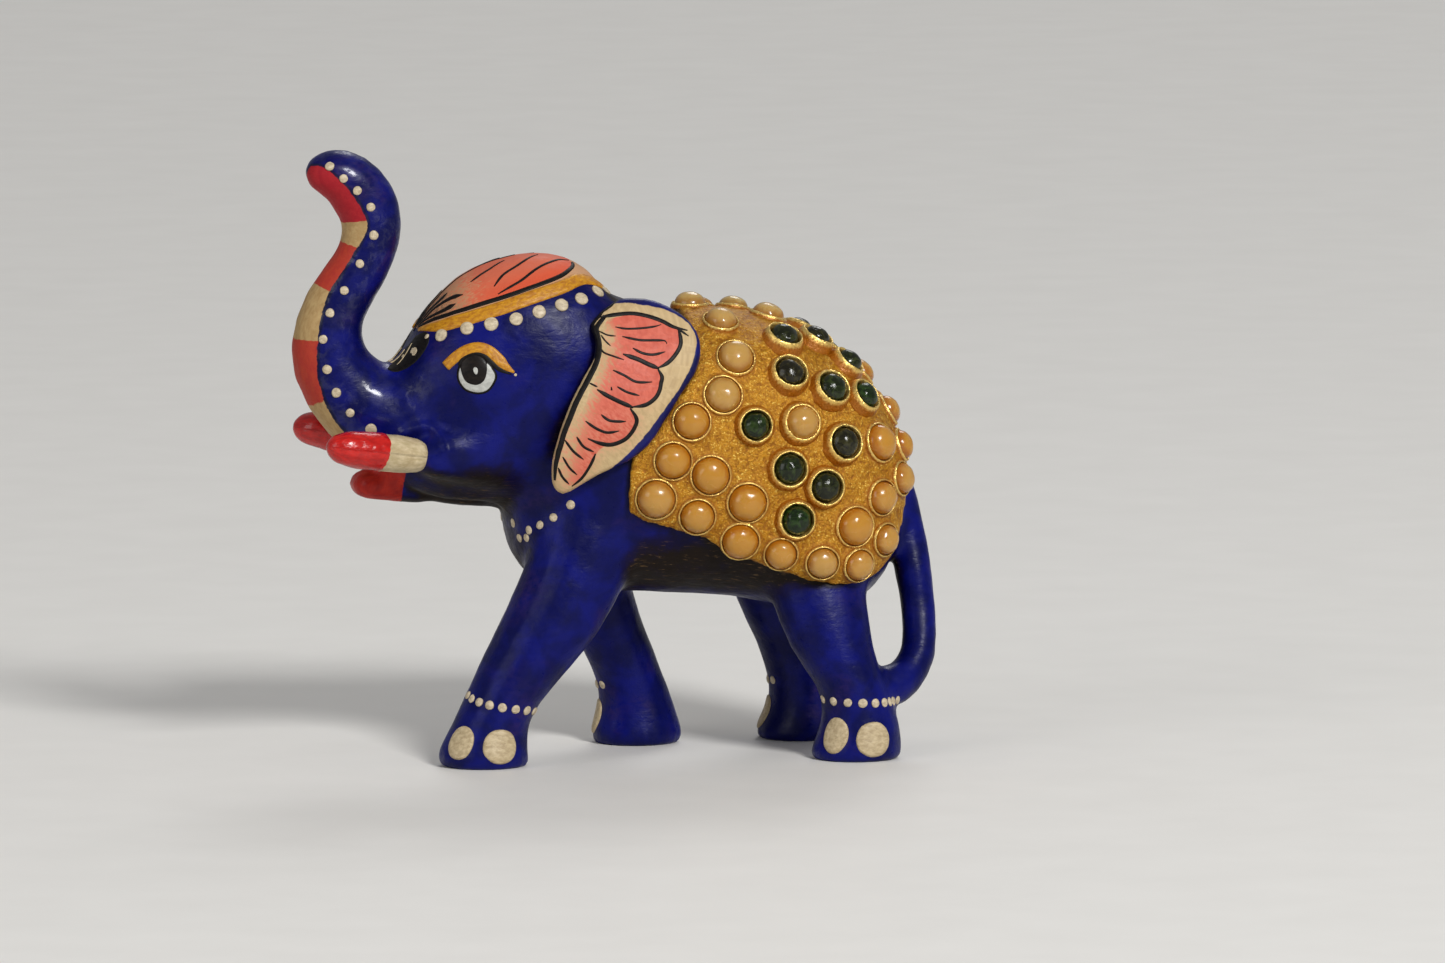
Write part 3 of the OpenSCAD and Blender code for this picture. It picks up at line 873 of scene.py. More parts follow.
def make_thick_paint(name, dark, light, roughness, coat, depth=0.08, on_dots=False, shine=0.4):
    """Paint in raised strokes, patches or dots: two shades drawn out by the brush."""
    material, tree, shader = new_material(name)
    place = object_place(tree) if on_dots else attribute(tree, "flow", vector=True)
    brush = use_group(tree, "brush_marks", Place=place, Streak_Width=0.3)
    tone = between(tree, brush.outputs["Streak"], 0.3, 0.7)
    colour = mixed(tree, tone, dark, light)
    rough = ranged(tree, tone, 0.0, 1.0, roughness + 0.12, roughness)
    if on_dots:
        edge = between(tree, attribute(tree, "dome"), 0.45, 0.05)
        colour = mixed(tree, times(tree, edge, 0.7), colour, rgb(0.10, 0.075, 0.06))
    set_shader(
        tree, shader, Base_Color=colour, Roughness=rough, Normal=bumped(tree, brush.outputs["Height"], depth),
        Coat_Weight=coat, Coat_Roughness=0.2, Specular_IOR_Level=shine,
    )
    return material


def floor_paper():
    material, tree, shader = new_material("floor_paper")
    place = add_node(tree, "ShaderNodeTexCoord").outputs["Object"]
    fibre = noise_at(tree, place, 60, 3, 0.5)
    colour = mixed(tree, fibre, rgb(0.76, 0.74, 0.70), rgb(0.82, 0.80, 0.76))
    set_shader(tree, shader, Base_Color=colour, Roughness=0.6)
    return material


# ---------------------------------------------------------------- body

TRUNK_LINE = [
    (-25.1, 54.0), (-30.3, 54.6), (-36.5, 56.0), (-42.3, 59.4), (-46.5, 65.0), (-46.9, 71.5), (-44.4, 76.8),
    (-41.7, 81.0), (-40.0, 85.6), (-40.1, 89.8), (-42.1, 93.4), (-45.0, 95.6), (-47.9, 96.0), (-53.0, 95.0),
]
# where the stripes of the trunk change, as heights on its middle line, from the mouth to the tip
STRIPE_ENDS = [62.3, 69.3, 75.8, 83.5]
TIP_START = 89.0
TRUNK_STRIPE_START = 8.0
TRUNK_REACH = 6
TRUNK_GAP = 9
TRUNK_LOWEST = 47.5
# the seam between the striped front and the blue, from the tip to the mouth
TRUNK_SEAM = [
    (-50.2, 1.6, 98.0), (-49.3, 2.8, 97.9), (-47.6, 3.6, 97.0), (-45.1, 4.3, 94.6), (-42.8, 4.5, 91.6),
    (-41.4, 4.6, 87.8), (-43.5, 3.9, 83.5), (-45.7, 3.9, 80.1), (-47.4, 4.0, 77.4), (-49.1, 4.6, 72.9),
    (-49.8, 4.9, 64.7), (-48.9, 4.7, 60.6), (-46.9, 4.4, 56.4), (-45.2, 4.4, 54.3),
]

BAND = [
    (-32.3, 2.1, 70.5), (-29.7, 6.8, 71.7), (-25.2, 9.4, 73.2), (-20.4, 10.4, 74.7),
    (-15.4, 10.3, 76.2), (-10.1, 9.1, 77.7), (-6.3, 6.7, 78.7), (-1.2, 3.4, 77.3), (-0.4, 0.0, 77.2),
]
CAP_EDGE = [
    (-32.3, 1.1, 70.8), (-29.7, 5.4, 72.9), (-26.1, 8.0, 74.4), (-22.5, 9.1, 75.6),
    (-18.1, 9.5, 76.9), (-13.6, 8.9, 78.2), (-9.9, 7.3, 79.3), (-7.7, 4.7, 80.2), (-7.0, 2.5, 81.0),
]
# where the painted cap starts behind the trunk, turns cream at the rear, and ends
CAP_FRONT = -33
CREAM_START = -7.2
CAP_BACK = -3.6
CAP_LOWEST = 66
CHEEK_FOLD = [
    (-36.2, 8.3, 54.4), (-34.0, 9.1, 55.3), (-32.0, 10.1, 55.5), (-30.7, 11.4, 54.3), (-29.9, 13.2, 52.0),
]
MOUTH = [(-36.0, 4.0, 46.5), (-34.0, 3.7, 44.4), (-28.9, 3.3, 42.6), (-22.4, 4.1, 42.1), (-18.0, 0.6, 41.1)]
EYE = (-25.3, 12.4, 64.8)
TUSK_ROOT = (-28.6, 9.8, 50.1)
TUSK_AXIS = (-0.959, 0.244, 0.145)
NAPE = (0.2, 0.0, 77.3)
CAP_CROWN = (-10.5, 0.0, 81.0)
CHEEK = (-19.5, 12.0, 50.0)
# how far each remeshed piece's points stand apart
BODY_STEP = 0.56
EAR_STEP = 0.36
SADDLE_STEP = 0.42
# the value that says well outside a painted shape
OUTSIDE = -5


def mirrored(points, side):
    """Places given for the right side, moved to this side."""
    return [(x, side * y, z) for x, y, z in points]


def mirror_spot(spot, side):
    return mirrored([spot], side)[0]


def trunk_middle():
    """The trunk's middle line, and how far along it each of its points is."""
    line = curve_through(TRUNK_LINE, 120)
    steps = np.linalg.norm(np.diff(line, axis=0), axis=1)
    return line, np.concatenate([[0], np.cumsum(steps)])


def trunk_turn(points):
    """Each point's gap from the trunk's line seen from the side, and how far along the trunk it is,
    how far from the line's middle it lies, and its angle round the trunk from the front."""
    line, steps = trunk_middle()
    flat = points[:, [0, 2]]
    gap, run = distance_to_path(flat, line)
    middle = np.stack([np.interp(run, steps, line[:, k]) for k in (0, 1)], 1)
    slope = np.gradient(line, axis=0)
    slope = slope / np.linalg.norm(slope, axis=1)[:, None]
    along = np.stack([np.interp(run, steps, slope[:, k]) for k in (0, 1)], 1)
    front = np.stack([-along[:, 1], along[:, 0]], 1)
    forward = ((flat - middle) * front).sum(1)
    sideways = np.abs(points[:, 1])
    return gap, run, np.hypot(forward, sideways), np.degrees(np.arctan2(sideways, forward))


def trunk_values(points):
    """How far along the trunk each point is, and how far inside its front, a red stripe and its tip."""
    gap, run, thick, angle = trunk_turn(points)
    _, seam_run, _, seam_angle = trunk_turn(curve_through(TRUNK_SEAM, 60))
    order = np.argsort(seam_run)
    half = np.interp(run, seam_run[order], seam_angle[order])
    inside = np.radians(half - angle) * np.minimum(thick, TRUNK_REACH)
    inside = np.where(gap < TRUNK_GAP, inside, OUTSIDE)
    inside = np.minimum(inside, run - TRUNK_STRIPE_START)
    inside = np.where(points[:, 2] < TRUNK_LOWEST, OUTSIDE, inside)
    line, steps = trunk_middle()
    climb = slice(line[:, 1].argmin(), line[:, 1].argmax() + 1)
    turns = np.interp(STRIPE_ENDS, line[climb, 1], steps[climb])
    tip = np.interp(TIP_START, line[climb, 1], steps[climb])
    signs = np.where(np.searchsorted(turns, run) % 2 == 1, 1.0, -1.0)
    nearest_turn = np.min([np.abs(run - turn) for turn in turns], axis=0)
    return run, inside, signs * nearest_turn, run - tip


def cap_values(points):
    """For the painted cap: how far inside it each point is, how far back, how far above its black
    edge, and how far inside its cream rear."""
    x, _, z = points.T
    band = curve_through(BAND, 60)
    high = z - np.interp(x, band[:, 0], band[:, 2] + 0.2)
    run = x - CAP_FRONT
    inside = np.minimum(np.minimum(high, run), CAP_BACK - x)
    inside = np.where(z > CAP_LOWEST, inside, OUTSIDE)
    edge = curve_through(CAP_EDGE, 60)
    above = z - np.interp(x, edge[:, 0], edge[:, 2])
    return inside, run, above, np.maximum(x - CREAM_START, -above)


def hollowness(points, normals, tree, reach, seed):
    """How shut in each point is, from 0 in the open to 1 in a deep hollow."""
    rng = np.random.default_rng(seed)
    tilts = []
    for k in range(10):
        a = 2.4 * k + rng.uniform(0, 0.5)
        h = (k + 0.5) / 10
        tilts.append((math.sqrt(h) * math.cos(a), math.sqrt(h) * math.sin(a), math.sqrt(1 - h)))
    hit = np.zeros(len(points))
    for i, (p, n) in enumerate(zip(points, normals)):
        up = Vector(n)
        right = up.orthogonal().normalized()
        ahead = up.cross(right)
        start = (Vector(p) + up * 0.25) * UNIT
        shut = 0.0
        for x, y, z in tilts:
            found = tree.ray_cast(start, right * x + ahead * y + up * z, reach * UNIT)
            if found[0] is not None:
                shut += 1 - found[3] / (reach * UNIT)
        hit[i] = shut / len(tilts)
    return hit


def shut_in(mesh, points, normals, names, reach, seed, rounds):
    """How shut in each point is among these CAD nodes, evened out over its neighbours."""
    shut = hollowness(points, normals, figure_tree(names), reach, seed)
    return even_out(shut, edges_of(mesh), rounds)


def figure_tree(names):
    """One search tree over several CAD nodes."""
    points = []
    faces = []
    for name in names:
        mesh = CAD[name].data
        start = len(points)
        points.extend(v.co.copy() for v in mesh.vertices)
        faces.extend(tuple(start + i for i in p.vertices) for p in mesh.polygons)
    return BVHTree.FromPolygons(points, faces)


def restore_girth(mesh, first, rounds=40):
    """Gives back the thickness that smoothing wore off, without its sharp edges."""
    points = points_of(mesh)
    normals = normals_of(mesh)
    edges = edges_of(mesh)
    worn = np.maximum(((first - points) * normals).sum(1), 0)
    worn = even_out(worn, edges, rounds)
    set_points(mesh, points + normals * worn[:, None])


def nape_notch(points):
    """How firmly the notch between the cap and the ears keeps its shape, from 0 to 1."""
    return np.interp(gap_from(points, (-1.0, 0.0, 78.0), (1.0, 1.8, 1.0)), [5, 9], [1, 0])


def relax_cheeks(mesh):
    """Melts the cheeks into the head."""
    points = points_of(mesh)
    edges = edges_of(mesh)
    degree = degrees_of(edges, len(points))
    folded = points * np.array([1, 0, 1]) + np.abs(points) * np.array([0, 1, 0])
    gap = gap_from(folded, CHEEK, (1.2, 1.0, 1.0))
    share = np.interp(gap, [3.5, 8.0], [0.9, 0])[:, None]
    for _ in range(70):
        points = points + (neighbour_mean(points, edges, degree) - points) * share
    set_points(mesh, points)


def carve(mesh):
    """The knife work on the body: folds, grooves and an uneven hand-cut skin."""
    points = points_of(mesh)
    normals = normals_of(mesh)
    lift = np.zeros(len(points))
    for side in SIDES.values():
        fold = distance_to_path(points, curve_through(mirrored(CHEEK_FOLD, side), 24))[0]
        lift += 0.75 * bump_of(fold, 1.0)
        mouth = distance_to_path(points, curve_through(mirrored(MOUTH, side), 30))[0]
        lift -= 0.55 * bump_of(mouth, 0.8)
        lift += 0.45 * bump_of(gap_from(points, mirror_spot(EYE, side)), 3.4)
    lift += 0.65 * bump_of(gap_from(points, CAP_CROWN, (1.0, 1.6, 1.0)), 5.5)
    lift -= 1.5 * bump_of(gap_from(points, NAPE, (1.0, 1.7, 1.0)), 3.6)
    lift += 0.16 * noise_of(points, 7.0) + 0.06 * noise_of(points, 2.6, 5.0)
    lift *= np.interp(points[:, 2], [0.6, 2.0], [0, 1])
    points = points + normals * lift[:, None]
    points[:, 2] = np.maximum(points[:, 2], 0)
    set_points(mesh, points)


def tusk_line(side):
    """The tusk's root, and the direction from there to its tip."""
    root = np.array(mirror_spot(TUSK_ROOT, side))
    axis = np.array(mirror_spot(TUSK_AXIS, side))
    return root, axis / np.linalg.norm(axis)


def body_shade_and_grime(mesh, points, normals):
    """How much painted shade and dark wash each point of the body gets, from 0 to 1: hollows, undersides, low
    flanks and legs' fronts.
    """
    names = ["body", "saddle", "ear_left", "ear_right", "tusk_left", "tusk_right"]
    shut = shut_in(mesh, points, normals, names, 9, 4, 4)
    x, y, z = points.T
    below = np.clip(-normals[:, 2] - 0.1, 0, 1) * np.interp(z, [20, 34], [0, 1])
    low_flank = np.interp(z, [33.0, 38.5], [1, 0.05]) * np.interp(x, [-6, 4, 30, 36], [0, 1, 1, 0])
    low_flank *= np.interp(z, [26, 30], [0, 1]) * np.interp(np.abs(y), [6, 9], [0.4, 1])
    ahead = np.clip(-normals[:, 0] - 0.45, 0, 1) * np.interp(z, [8, 14, 38, 44], [0, 1, 1, 0])
    on_head = np.interp(x, [-18, -13], [1, 0])
    shut *= 1.0 - on_head * np.interp(z, [43.5, 47.5], [-0.3, 0.75])
    return np.clip(shut + below * 1.2 + low_flank * 0.7 + ahead * 0.9, 0, 1)


def store_body_values(mesh, points, normals):
    """Stores on the body where each of its paints lies and which way the brush went."""
    x, y, z = points.T
    run, front, red, tip = trunk_values(points)
    inside, cap_run, above, rear = cap_values(points)
    lip = np.where(z > 49, -3, np.minimum(-35.4 - x, 48.2 - z))
    values = {
        "trunk_front": front, "stripe_red": red, "trunk_tip": tip,
        "trunk_flow": np.stack([run, y, np.zeros(len(run))], 1),
        "cap": inside, "cap_run": cap_run, "cap_high": above, "cap_rear": rear,
        "cap_flow": np.stack([cap_run, above * 1.4, y * 1.4], 1),
        "lip": lip,
        "hollow": body_shade_and_grime(mesh, points, normals),
        "gloss": np.interp(x, [-37, -31], [1, 0]) * np.interp(z, [50, 56], [0, 1]),
    }
    for name, value in values.items():
        keep_values(mesh, name, value)


def make_body(paint):
    cheeks = [turned_form("cheek", side, CHEEK_PROFILE, 24, paint)[0] for side in SIDES.values()]
    thing, mesh = remeshed_copy("body", "carved_body", BODY_STEP, paint, cheeks)
    first = points_of(mesh)
    soften(mesh, 45, 0.6, 0.07, still=nape_notch)
    restore_girth(mesh, first)
    relax_cheeks(mesh)
    carve(mesh)
    store_body_values(mesh, points_of(mesh), normals_of(mesh))
    place_piece(thing, "painted_wood", "body")
    return thing


# ---------------------------------------------------------------- ears

# Outlines on the ear's face, as (along, up) seen from the side.
EAR_FIELD = [
    (-5.8, 73.4), (-3.2, 74.7), (-1.0, 75.2), (1.2, 75.1), (6.1, 74.1), (9.4, 72.3), (10.9, 70.0),
    (10.4, 66.8), (8.1, 62.5), (5.3, 58.9), (1.6, 54.3), (-1.1, 51.5), (-4.4, 48.6), (-7.0, 46.4),
    (-9.5, 44.6), (-11.8, 43.0),
    (-14.6, 43.6), (-15.2, 48.0), (-14.8, 50.3), (-14.0, 52.9), (-13.2, 55.5), (-12.0, 58.5), (-10.8, 61.0),
    (-9.2, 63.8), (-8.2, 66.5), (-7.2, 68.4), (-6.9, 69.8), (-6.6, 71.8),
]
PETALS = [
    (-3.4, 72.6), (0.7, 73.4), (3.4, 72.9), (5.6, 72.1), (8.1, 71.1), (8.3, 69.6), (8.1, 68.4), (7.1, 67.0),
    (5.7, 65.8), (4.2, 65.0), (4.7, 63.7), (4.5, 62.7), (4.2, 61.5), (3.4, 60.3), (1.8, 59.3), (-0.6, 58.9),
    (0.1, 57.4), (0.2, 56.4), (-0.6, 54.9), (-1.9, 53.7), (-4.0, 53.0), (-5.4, 52.6), (-6.6, 51.4),
    (-7.4, 49.6),
    (-8.6, 47.8), (-10.4, 46.4), (-11.9, 47.3), (-12.8, 50.4), (-12.0, 52.8), (-10.8, 55.4), (-8.6, 58.6),
    (-7.4, 61.2), (-6.2, 63.8), (-5.2, 66.3), (-4.6, 68.6), (-4.4, 70.4),
]
EAR_ROOT_LINE = [
    (-6.1, 73.3), (-4.7, 71.1), (-4.6, 69.8), (-4.9, 68.4), (-5.9, 66.5), (-6.9, 63.8), (-8.5, 61.0),
    (-9.7, 58.5), (-10.9, 55.5), (-11.7, 52.9), (-12.4, 50.3), (-12.7, 47.5), (-12.9, 45.0),
]
# Each stroke: its weight, then its places; STROKE_SWELL makes a weight a half width.
STROKE_SWELL = 1.4
EAR_STROKES = [
    (0.26, [(-5.0, 73.0), (-2.6, 73.4), (0.7, 73.6), (3.4, 73.1), (5.6, 72.3), (7.3, 71.4), (9.6, 70.8)]),
    (0.14, [(6.1, 72.1), (8.1, 71.0), (9.7, 69.9)]),
    (0.24, [(8.1, 71.1), (8.3, 69.6), (8.1, 68.4), (7.1, 67.0), (5.7, 65.8), (4.1, 65.1)]),
    (0.27, [(4.3, 65.0), (2.6, 65.7), (1.2, 66.4), (-0.1, 66.9), (-1.5, 67.4)]),
    (0.13, [(-2.3, 71.6), (-0.6, 71.3), (1.7, 71.3), (4.0, 71.5), (5.3, 71.8)]),
    (0.15, [(-1.3, 70.1), (1.5, 69.5), (4.0, 69.4), (5.6, 69.3), (5.9, 68.8)]),
    (0.16, [(0.2, 68.3), (1.7, 67.5), (3.5, 67.2), (5.5, 67.6)]),
    (0.10, [(-5.0, 71.0), (-3.8, 70.4), (-2.4, 70.2)]),
    (0.10, [(-4.8, 70.4), (-4.2, 69.5), (-3.4, 68.7)]),
    (0.11, [(-5.2, 68.7), (-4.6, 67.7), (-3.1, 67.1), (-1.4, 66.5)]),
    (0.24, [(4.1, 64.9), (4.7, 63.7), (4.5, 62.7), (4.2, 61.5), (3.4, 60.3), (1.8, 59.3), (-0.5, 59.0)]),
    (0.25, [(-0.3, 58.9), (-2.3, 59.8), (-4.3, 60.8), (-6.1, 61.9)]),
    (0.15, [(-3.3, 64.9), (-1.6, 64.1), (0.4, 63.0), (3.0, 62.9)]),
    (0.14, [(-2.8, 62.3), (-1.2, 61.4), (0.8, 60.8)]),
    (0.11, [(-7.2, 62.9), (-6.0, 62.3)]),
    (0.24, [
        (-0.8, 58.8), (0.1, 57.4), (0.2, 56.4), (-0.6, 54.9), (-1.9, 53.7), (-4.0, 53.0),
        (-6.0, 53.3), (-7.9, 54.1),
    ]),
    (0.16, [(-5.6, 57.9), (-4.2, 56.9), (-1.6, 56.7)]),
    (0.16, [(-8.2, 56.9), (-6.5, 55.7), (-4.7, 55.0), (-2.7, 55.2)]),
    (0.15, [(-9.7, 54.4), (-8.6, 52.8), (-6.9, 51.9)]),
    (0.15, [(-11.6, 53.9), (-10.3, 52.1), (-8.6, 50.7)]),
    (0.13, [(-12.0, 51.2), (-10.9, 49.4), (-9.6, 48.2)]),
    (0.18, [(-6.6, 51.6), (-7.5, 49.6), (-8.8, 47.6), (-10.4, 46.3)]),
    (0.14, [(-12.7, 49.4), (-12.0, 47.9), (-10.9, 46.7)]),
]


# How much lower the top of each side's ear is carved.
EAR_DROP = {-1: 0.0, 1: 2.8}


def ear_height(z, side):
    """Where a height on the ear's drawing ends up on this side's ear."""
    return z - EAR_DROP[side] * np.interp(z, [60, 72], [0, 1])


def make_ear(name, side, paint):
    thing, mesh = remeshed_copy(name, "painted_" + name, EAR_STEP, paint)
    first = points_of(mesh)
    soften(mesh, 14, 0.5, 0.2)
    restore_girth(mesh, first, 14)
    points = points_of(mesh)
    normals = normals_of(mesh)
    points = points + normals * (0.10 * noise_of(points, 4.0, 2.0))[:, None]
    set_points(mesh, points)
    flat = points[:, [0, 2]]
    field = inside_outline(flat, curve_through(EAR_FIELD, 160, closed=True))
    outer = (np.maximum(normals[:, 1] * side, -normals[:, 0] * 0.9) - 0.15) * 4
    keep_values(mesh, "ear_field", np.minimum(field, outer))
    keep_values(mesh, "petal", inside_outline(flat, curve_through(PETALS, 160, closed=True)))
    gap, along = distance_to_path(flat, curve_through(EAR_ROOT_LINE, 60))
    keep_values(mesh, "petal_run", gap)
    keep_values(mesh, "petal_low", points[:, 2])
    fan = along * (1 - 0.018 * gap)
    keep_values(mesh, "petal_flow", np.stack([gap, fan, np.zeros(len(gap))], 1))
    # Painted shade where the ear sits against the body and saddle.
    shut = shut_in(mesh, points, normals, ["body", "saddle"], 7, 9, 4)
    keep_values(mesh, "hollow", np.clip(shut * 1.2, 0, 1))
    head = figure_tree(["body"])
    away = np.array([head.find_nearest(Vector(p) * UNIT)[3] for p in points]) / UNIT
    ahead = np.minimum((-normals[:, 0] - normals[:, 1] * side * 0.75) * 3, 2.2 - away)
    keep_values(mesh, "ear_foot", ahead)
    points[:, 2] = ear_height(points[:, 2], side)
    set_points(mesh, points)
    place_piece(thing, "ear_paint", name)
    return thing


# ---------------------------------------------------------------- saddle, stones and collars

POCKET_DEPTH = 0.9
# the height from which the stones face outwards
BACK_MIDDLE = 56
# a collar that stands out of the relief by more than this is a tall one
TALL_COLLAR = 0.7


class Setting:
    """One round part of a CAD node: where it stands, which way it faces and how big it is."""

    def __init__(self, points):
        middle = points.mean(0)
        spread = np.cov((points - middle).T)
        values, axes = np.linalg.eigh(spread)
        lone = 0 if values[1] - values[0] > values[2] - values[1] else 2
        axis = axes[:, lone]
        back = np.array([middle[0] * 0.7, 0, BACK_MIDDLE])
        if axis @ (middle - back) < 0:
            axis = -axis
        run, gap = along_and_off(points, middle, axis)
        self.centre = middle
        self.axis = axis
        self.bottom = run.min()
        self.top = run.max()
        self.radius = gap.max()

    @property
    def foot(self):
        """The middle of the part where it meets the relief."""
        return self.centre + self.axis * (self.bottom + POCKET_DEPTH)

    @property
    def rise(self):
        return self.top - self.bottom - POCKET_DEPTH


def settings_of(node):
    """The separate round parts of a CAD node."""
    work = bmesh.new()
    work.from_mesh(CAD[node].data)
    bmesh.ops.remove_doubles(work, verts=work.verts, dist=0.002 * UNIT)
    seen = set()
    parts = []
    work.verts.ensure_lookup_table()
    for start in work.verts:
        if start in seen:
            continue
        island = []
        queue = [start]
        seen.add(start)
        while queue:
            spot = queue.pop()
            island.append(spot.co / UNIT)
            for edge in spot.link_edges:
                other = edge.other_vert(spot)
                if other not in seen:
                    seen.add(other)
                    queue.append(other)
        parts.append(Setting(np.array(island)))
    work.free()
    return parts


def names_starting(word):
    return [name for name in sorted(CAD) if name.startswith(word)]


def make_saddle(paint, stones):
    thing, mesh = remeshed_copy("saddle", "gilded_saddle", SADDLE_STEP, paint)
    points = points_of(mesh)
    normals = normals_of(mesh)
    for stone in stones:
        run, gap = along_and_off(points, stone.centre, stone.axis)
        level = stone.bottom + POCKET_DEPTH
        sunk = (gap < stone.radius + 0.7) & (run < level) & (run > stone.bottom - 0.35)
        outward = sunk & (normals @ stone.axis > -0.2)
        points = np.where(outward[:, None], points + stone.axis * (level - run)[:, None], points)
    set_points(mesh, points)
    soften(mesh, 8, 0.5, 0.35)
    points = points_of(mesh)
    normals = normals_of(mesh)
    foot = np.zeros(len(points))
    for stone in stones:
        run, gap = along_and_off(points, stone.foot, stone.axis)
        near = bump_of(np.maximum(gap - stone.radius, 0), 1.0) * bump_of(run, 2.0)
        foot = np.maximum(foot, near * (normals @ stone.axis > 0.2))
    crumb = noise_of(points, 0.95) * 0.6 + noise_of(points, 0.60, 3.0) * 0.4
    ridge = 1 - np.abs(noise_of(points, 1.6, 8.0)) * 2
    lift = 0.26 * foot + 0.17 * crumb * (1 - 0.6 * foot) + 0.06 * ridge + 0.14 * noise_of(points, 5.0, 1.0)
    points = points + normals * lift[:, None]
    set_points(mesh, points)
    # This height also paints the relief darker in its low crumbs, as painted shade.
    keep_values(mesh, "crumb_height", np.clip(0.5 + 0.9 * crumb + 0.15 * ridge, 0, 1))
    keep_values(mesh, "stone_foot", foot)
    # Painted shade where the saddle meets the body and ears.
    shut = shut_in(mesh, points, normals, ["body", "ear_left", "ear_right"], 4, 12, 3)
    keep_values(mesh, "hem", np.clip(shut * 1.3, 0, 1))
    place_piece(thing, "gilded_relief", "saddle")
    return thing


def start_setting_tree(name):
    """A tree that sets one shape on every point, facing and sized by the point's own values."""
    tree = bpy.data.node_groups.new(name, "GeometryNodeTree")
    group_socket(tree, "Points", kind="NodeSocketGeometry")
    group_socket(tree, "Finish", kind="NodeSocketMaterial")
    group_socket(tree, "Unevenness", value=0.1)
    group_socket(tree, "Lump Size", value=1.0)
    group_socket(tree, "Seed", value=0.0)
    group_socket(tree, "Pieces", out=True, kind="NodeSocketGeometry")
    return tree, tree.nodes.new("NodeGroupInput"), tree.nodes.new("NodeGroupOutput")


def named_value(tree, name, kind="FLOAT"):
    node = add_node(tree, "GeometryNodeInputNamedAttribute", {"data_type": kind}, Name=name)
    return node.outputs["Attribute"]


def finish_setting_tree(tree, inside, outside, shape):
    """Sets the shape on the points, makes it a little uneven and gives it its finish."""
    facing = named_value(tree, "facing", "FLOAT_VECTOR")
    turned = add_node(tree, "FunctionNodeAlignRotationToVector", {"axis": "Z"}, Vector=facing)
    spread = named_value(tree, "spread")
    size = add_node(tree, "ShaderNodeCombineXYZ", None, X=spread, Y=spread, Z=named_value(tree, "rise"))
    placed = add_node(
        tree, "GeometryNodeInstanceOnPoints", None,
        Points=inside.outputs["Points"], Instance=shape,
        Rotation=turned.outputs["Rotation"], Scale=size.outputs["Vector"],
    )
    real = add_node(tree, "GeometryNodeRealizeInstances", None, Geometry=placed.outputs["Instances"])
    here = tree.nodes.new("GeometryNodeInputPosition").outputs["Position"]
    normal = tree.nodes.new("GeometryNodeInputNormal").outputs["Normal"]
    shift = add_node(tree, "ShaderNodeCombineXYZ", None, X=inside.outputs["Seed"])
    spot = add_node(tree, "ShaderNodeVectorMath", {"operation": "ADD"}, i0=here, i1=shift.outputs["Vector"])
    scale = maths(tree, "DIVIDE", 1.0, inside.outputs["Lump Size"])
    lumps = noise_at(tree, spot.outputs["Vector"], scale, 2.0)
    amount = swing(tree, lumps, inside.outputs["Unevenness"])
    push = add_node(tree, "ShaderNodeVectorMath", {"operation": "SCALE"}, i0=normal, Scale=amount)
    real = real.outputs["Geometry"]
    moved = add_node(tree, "GeometryNodeSetPosition", None, Geometry=real, Offset=push.outputs["Vector"])
    smooth = add_node(tree, "GeometryNodeSetShadeSmooth", None, Geometry=moved.outputs["Geometry"])
    painted = add_node(
        tree, "GeometryNodeSetMaterial", None,
        Geometry=smooth.outputs["Geometry"], Material=inside.outputs["Finish"],
    )
    tree.links.new(painted.outputs["Geometry"], outside.inputs["Pieces"])


def stored(tree, geometry, name, value):
    node = add_node(
        tree, "GeometryNodeStoreNamedAttribute", {"data_type": "FLOAT", "domain": "POINT"},
        Geometry=geometry, Name=name, Value=value,
    )
    return node.outputs["Geometry"]


def build_dome_tree(name, rings, fullness):
    """Round domes: fullness 1 is a half ball, and more gives a blunter top with steeper sides."""
    tree, inside, outside = start_setting_tree(name)
    ball = add_node(tree, "GeometryNodeMeshIcoSphere", None, Radius=1.0, Subdivisions=rings).outputs["Mesh"]
    here = tree.nodes.new("GeometryNodeInputPosition").outputs["Position"]
    parts = add_node(tree, "ShaderNodeSeparateXYZ", None, Vector=here)
    up = parts.outputs["Z"]
    ball = stored(tree, ball, "dome", maths(tree, "MAXIMUM", up, 0.0))
    top = maths(tree, "POWER", maths(tree, "MAXIMUM", up, 0.0), 1.0 / fullness)
    under = times(tree, maths(tree, "MINIMUM", up, 0.0), 0.3)
    height = plus(tree, top, under)
    spot = add_node(tree, "ShaderNodeCombineXYZ", None, X=parts.outputs["X"], Y=parts.outputs["Y"], Z=height)
    shaped = add_node(tree, "GeometryNodeSetPosition", None, Geometry=ball, Position=spot.outputs["Vector"])
    finish_setting_tree(tree, inside, outside, shaped.outputs["Geometry"])
    return tree


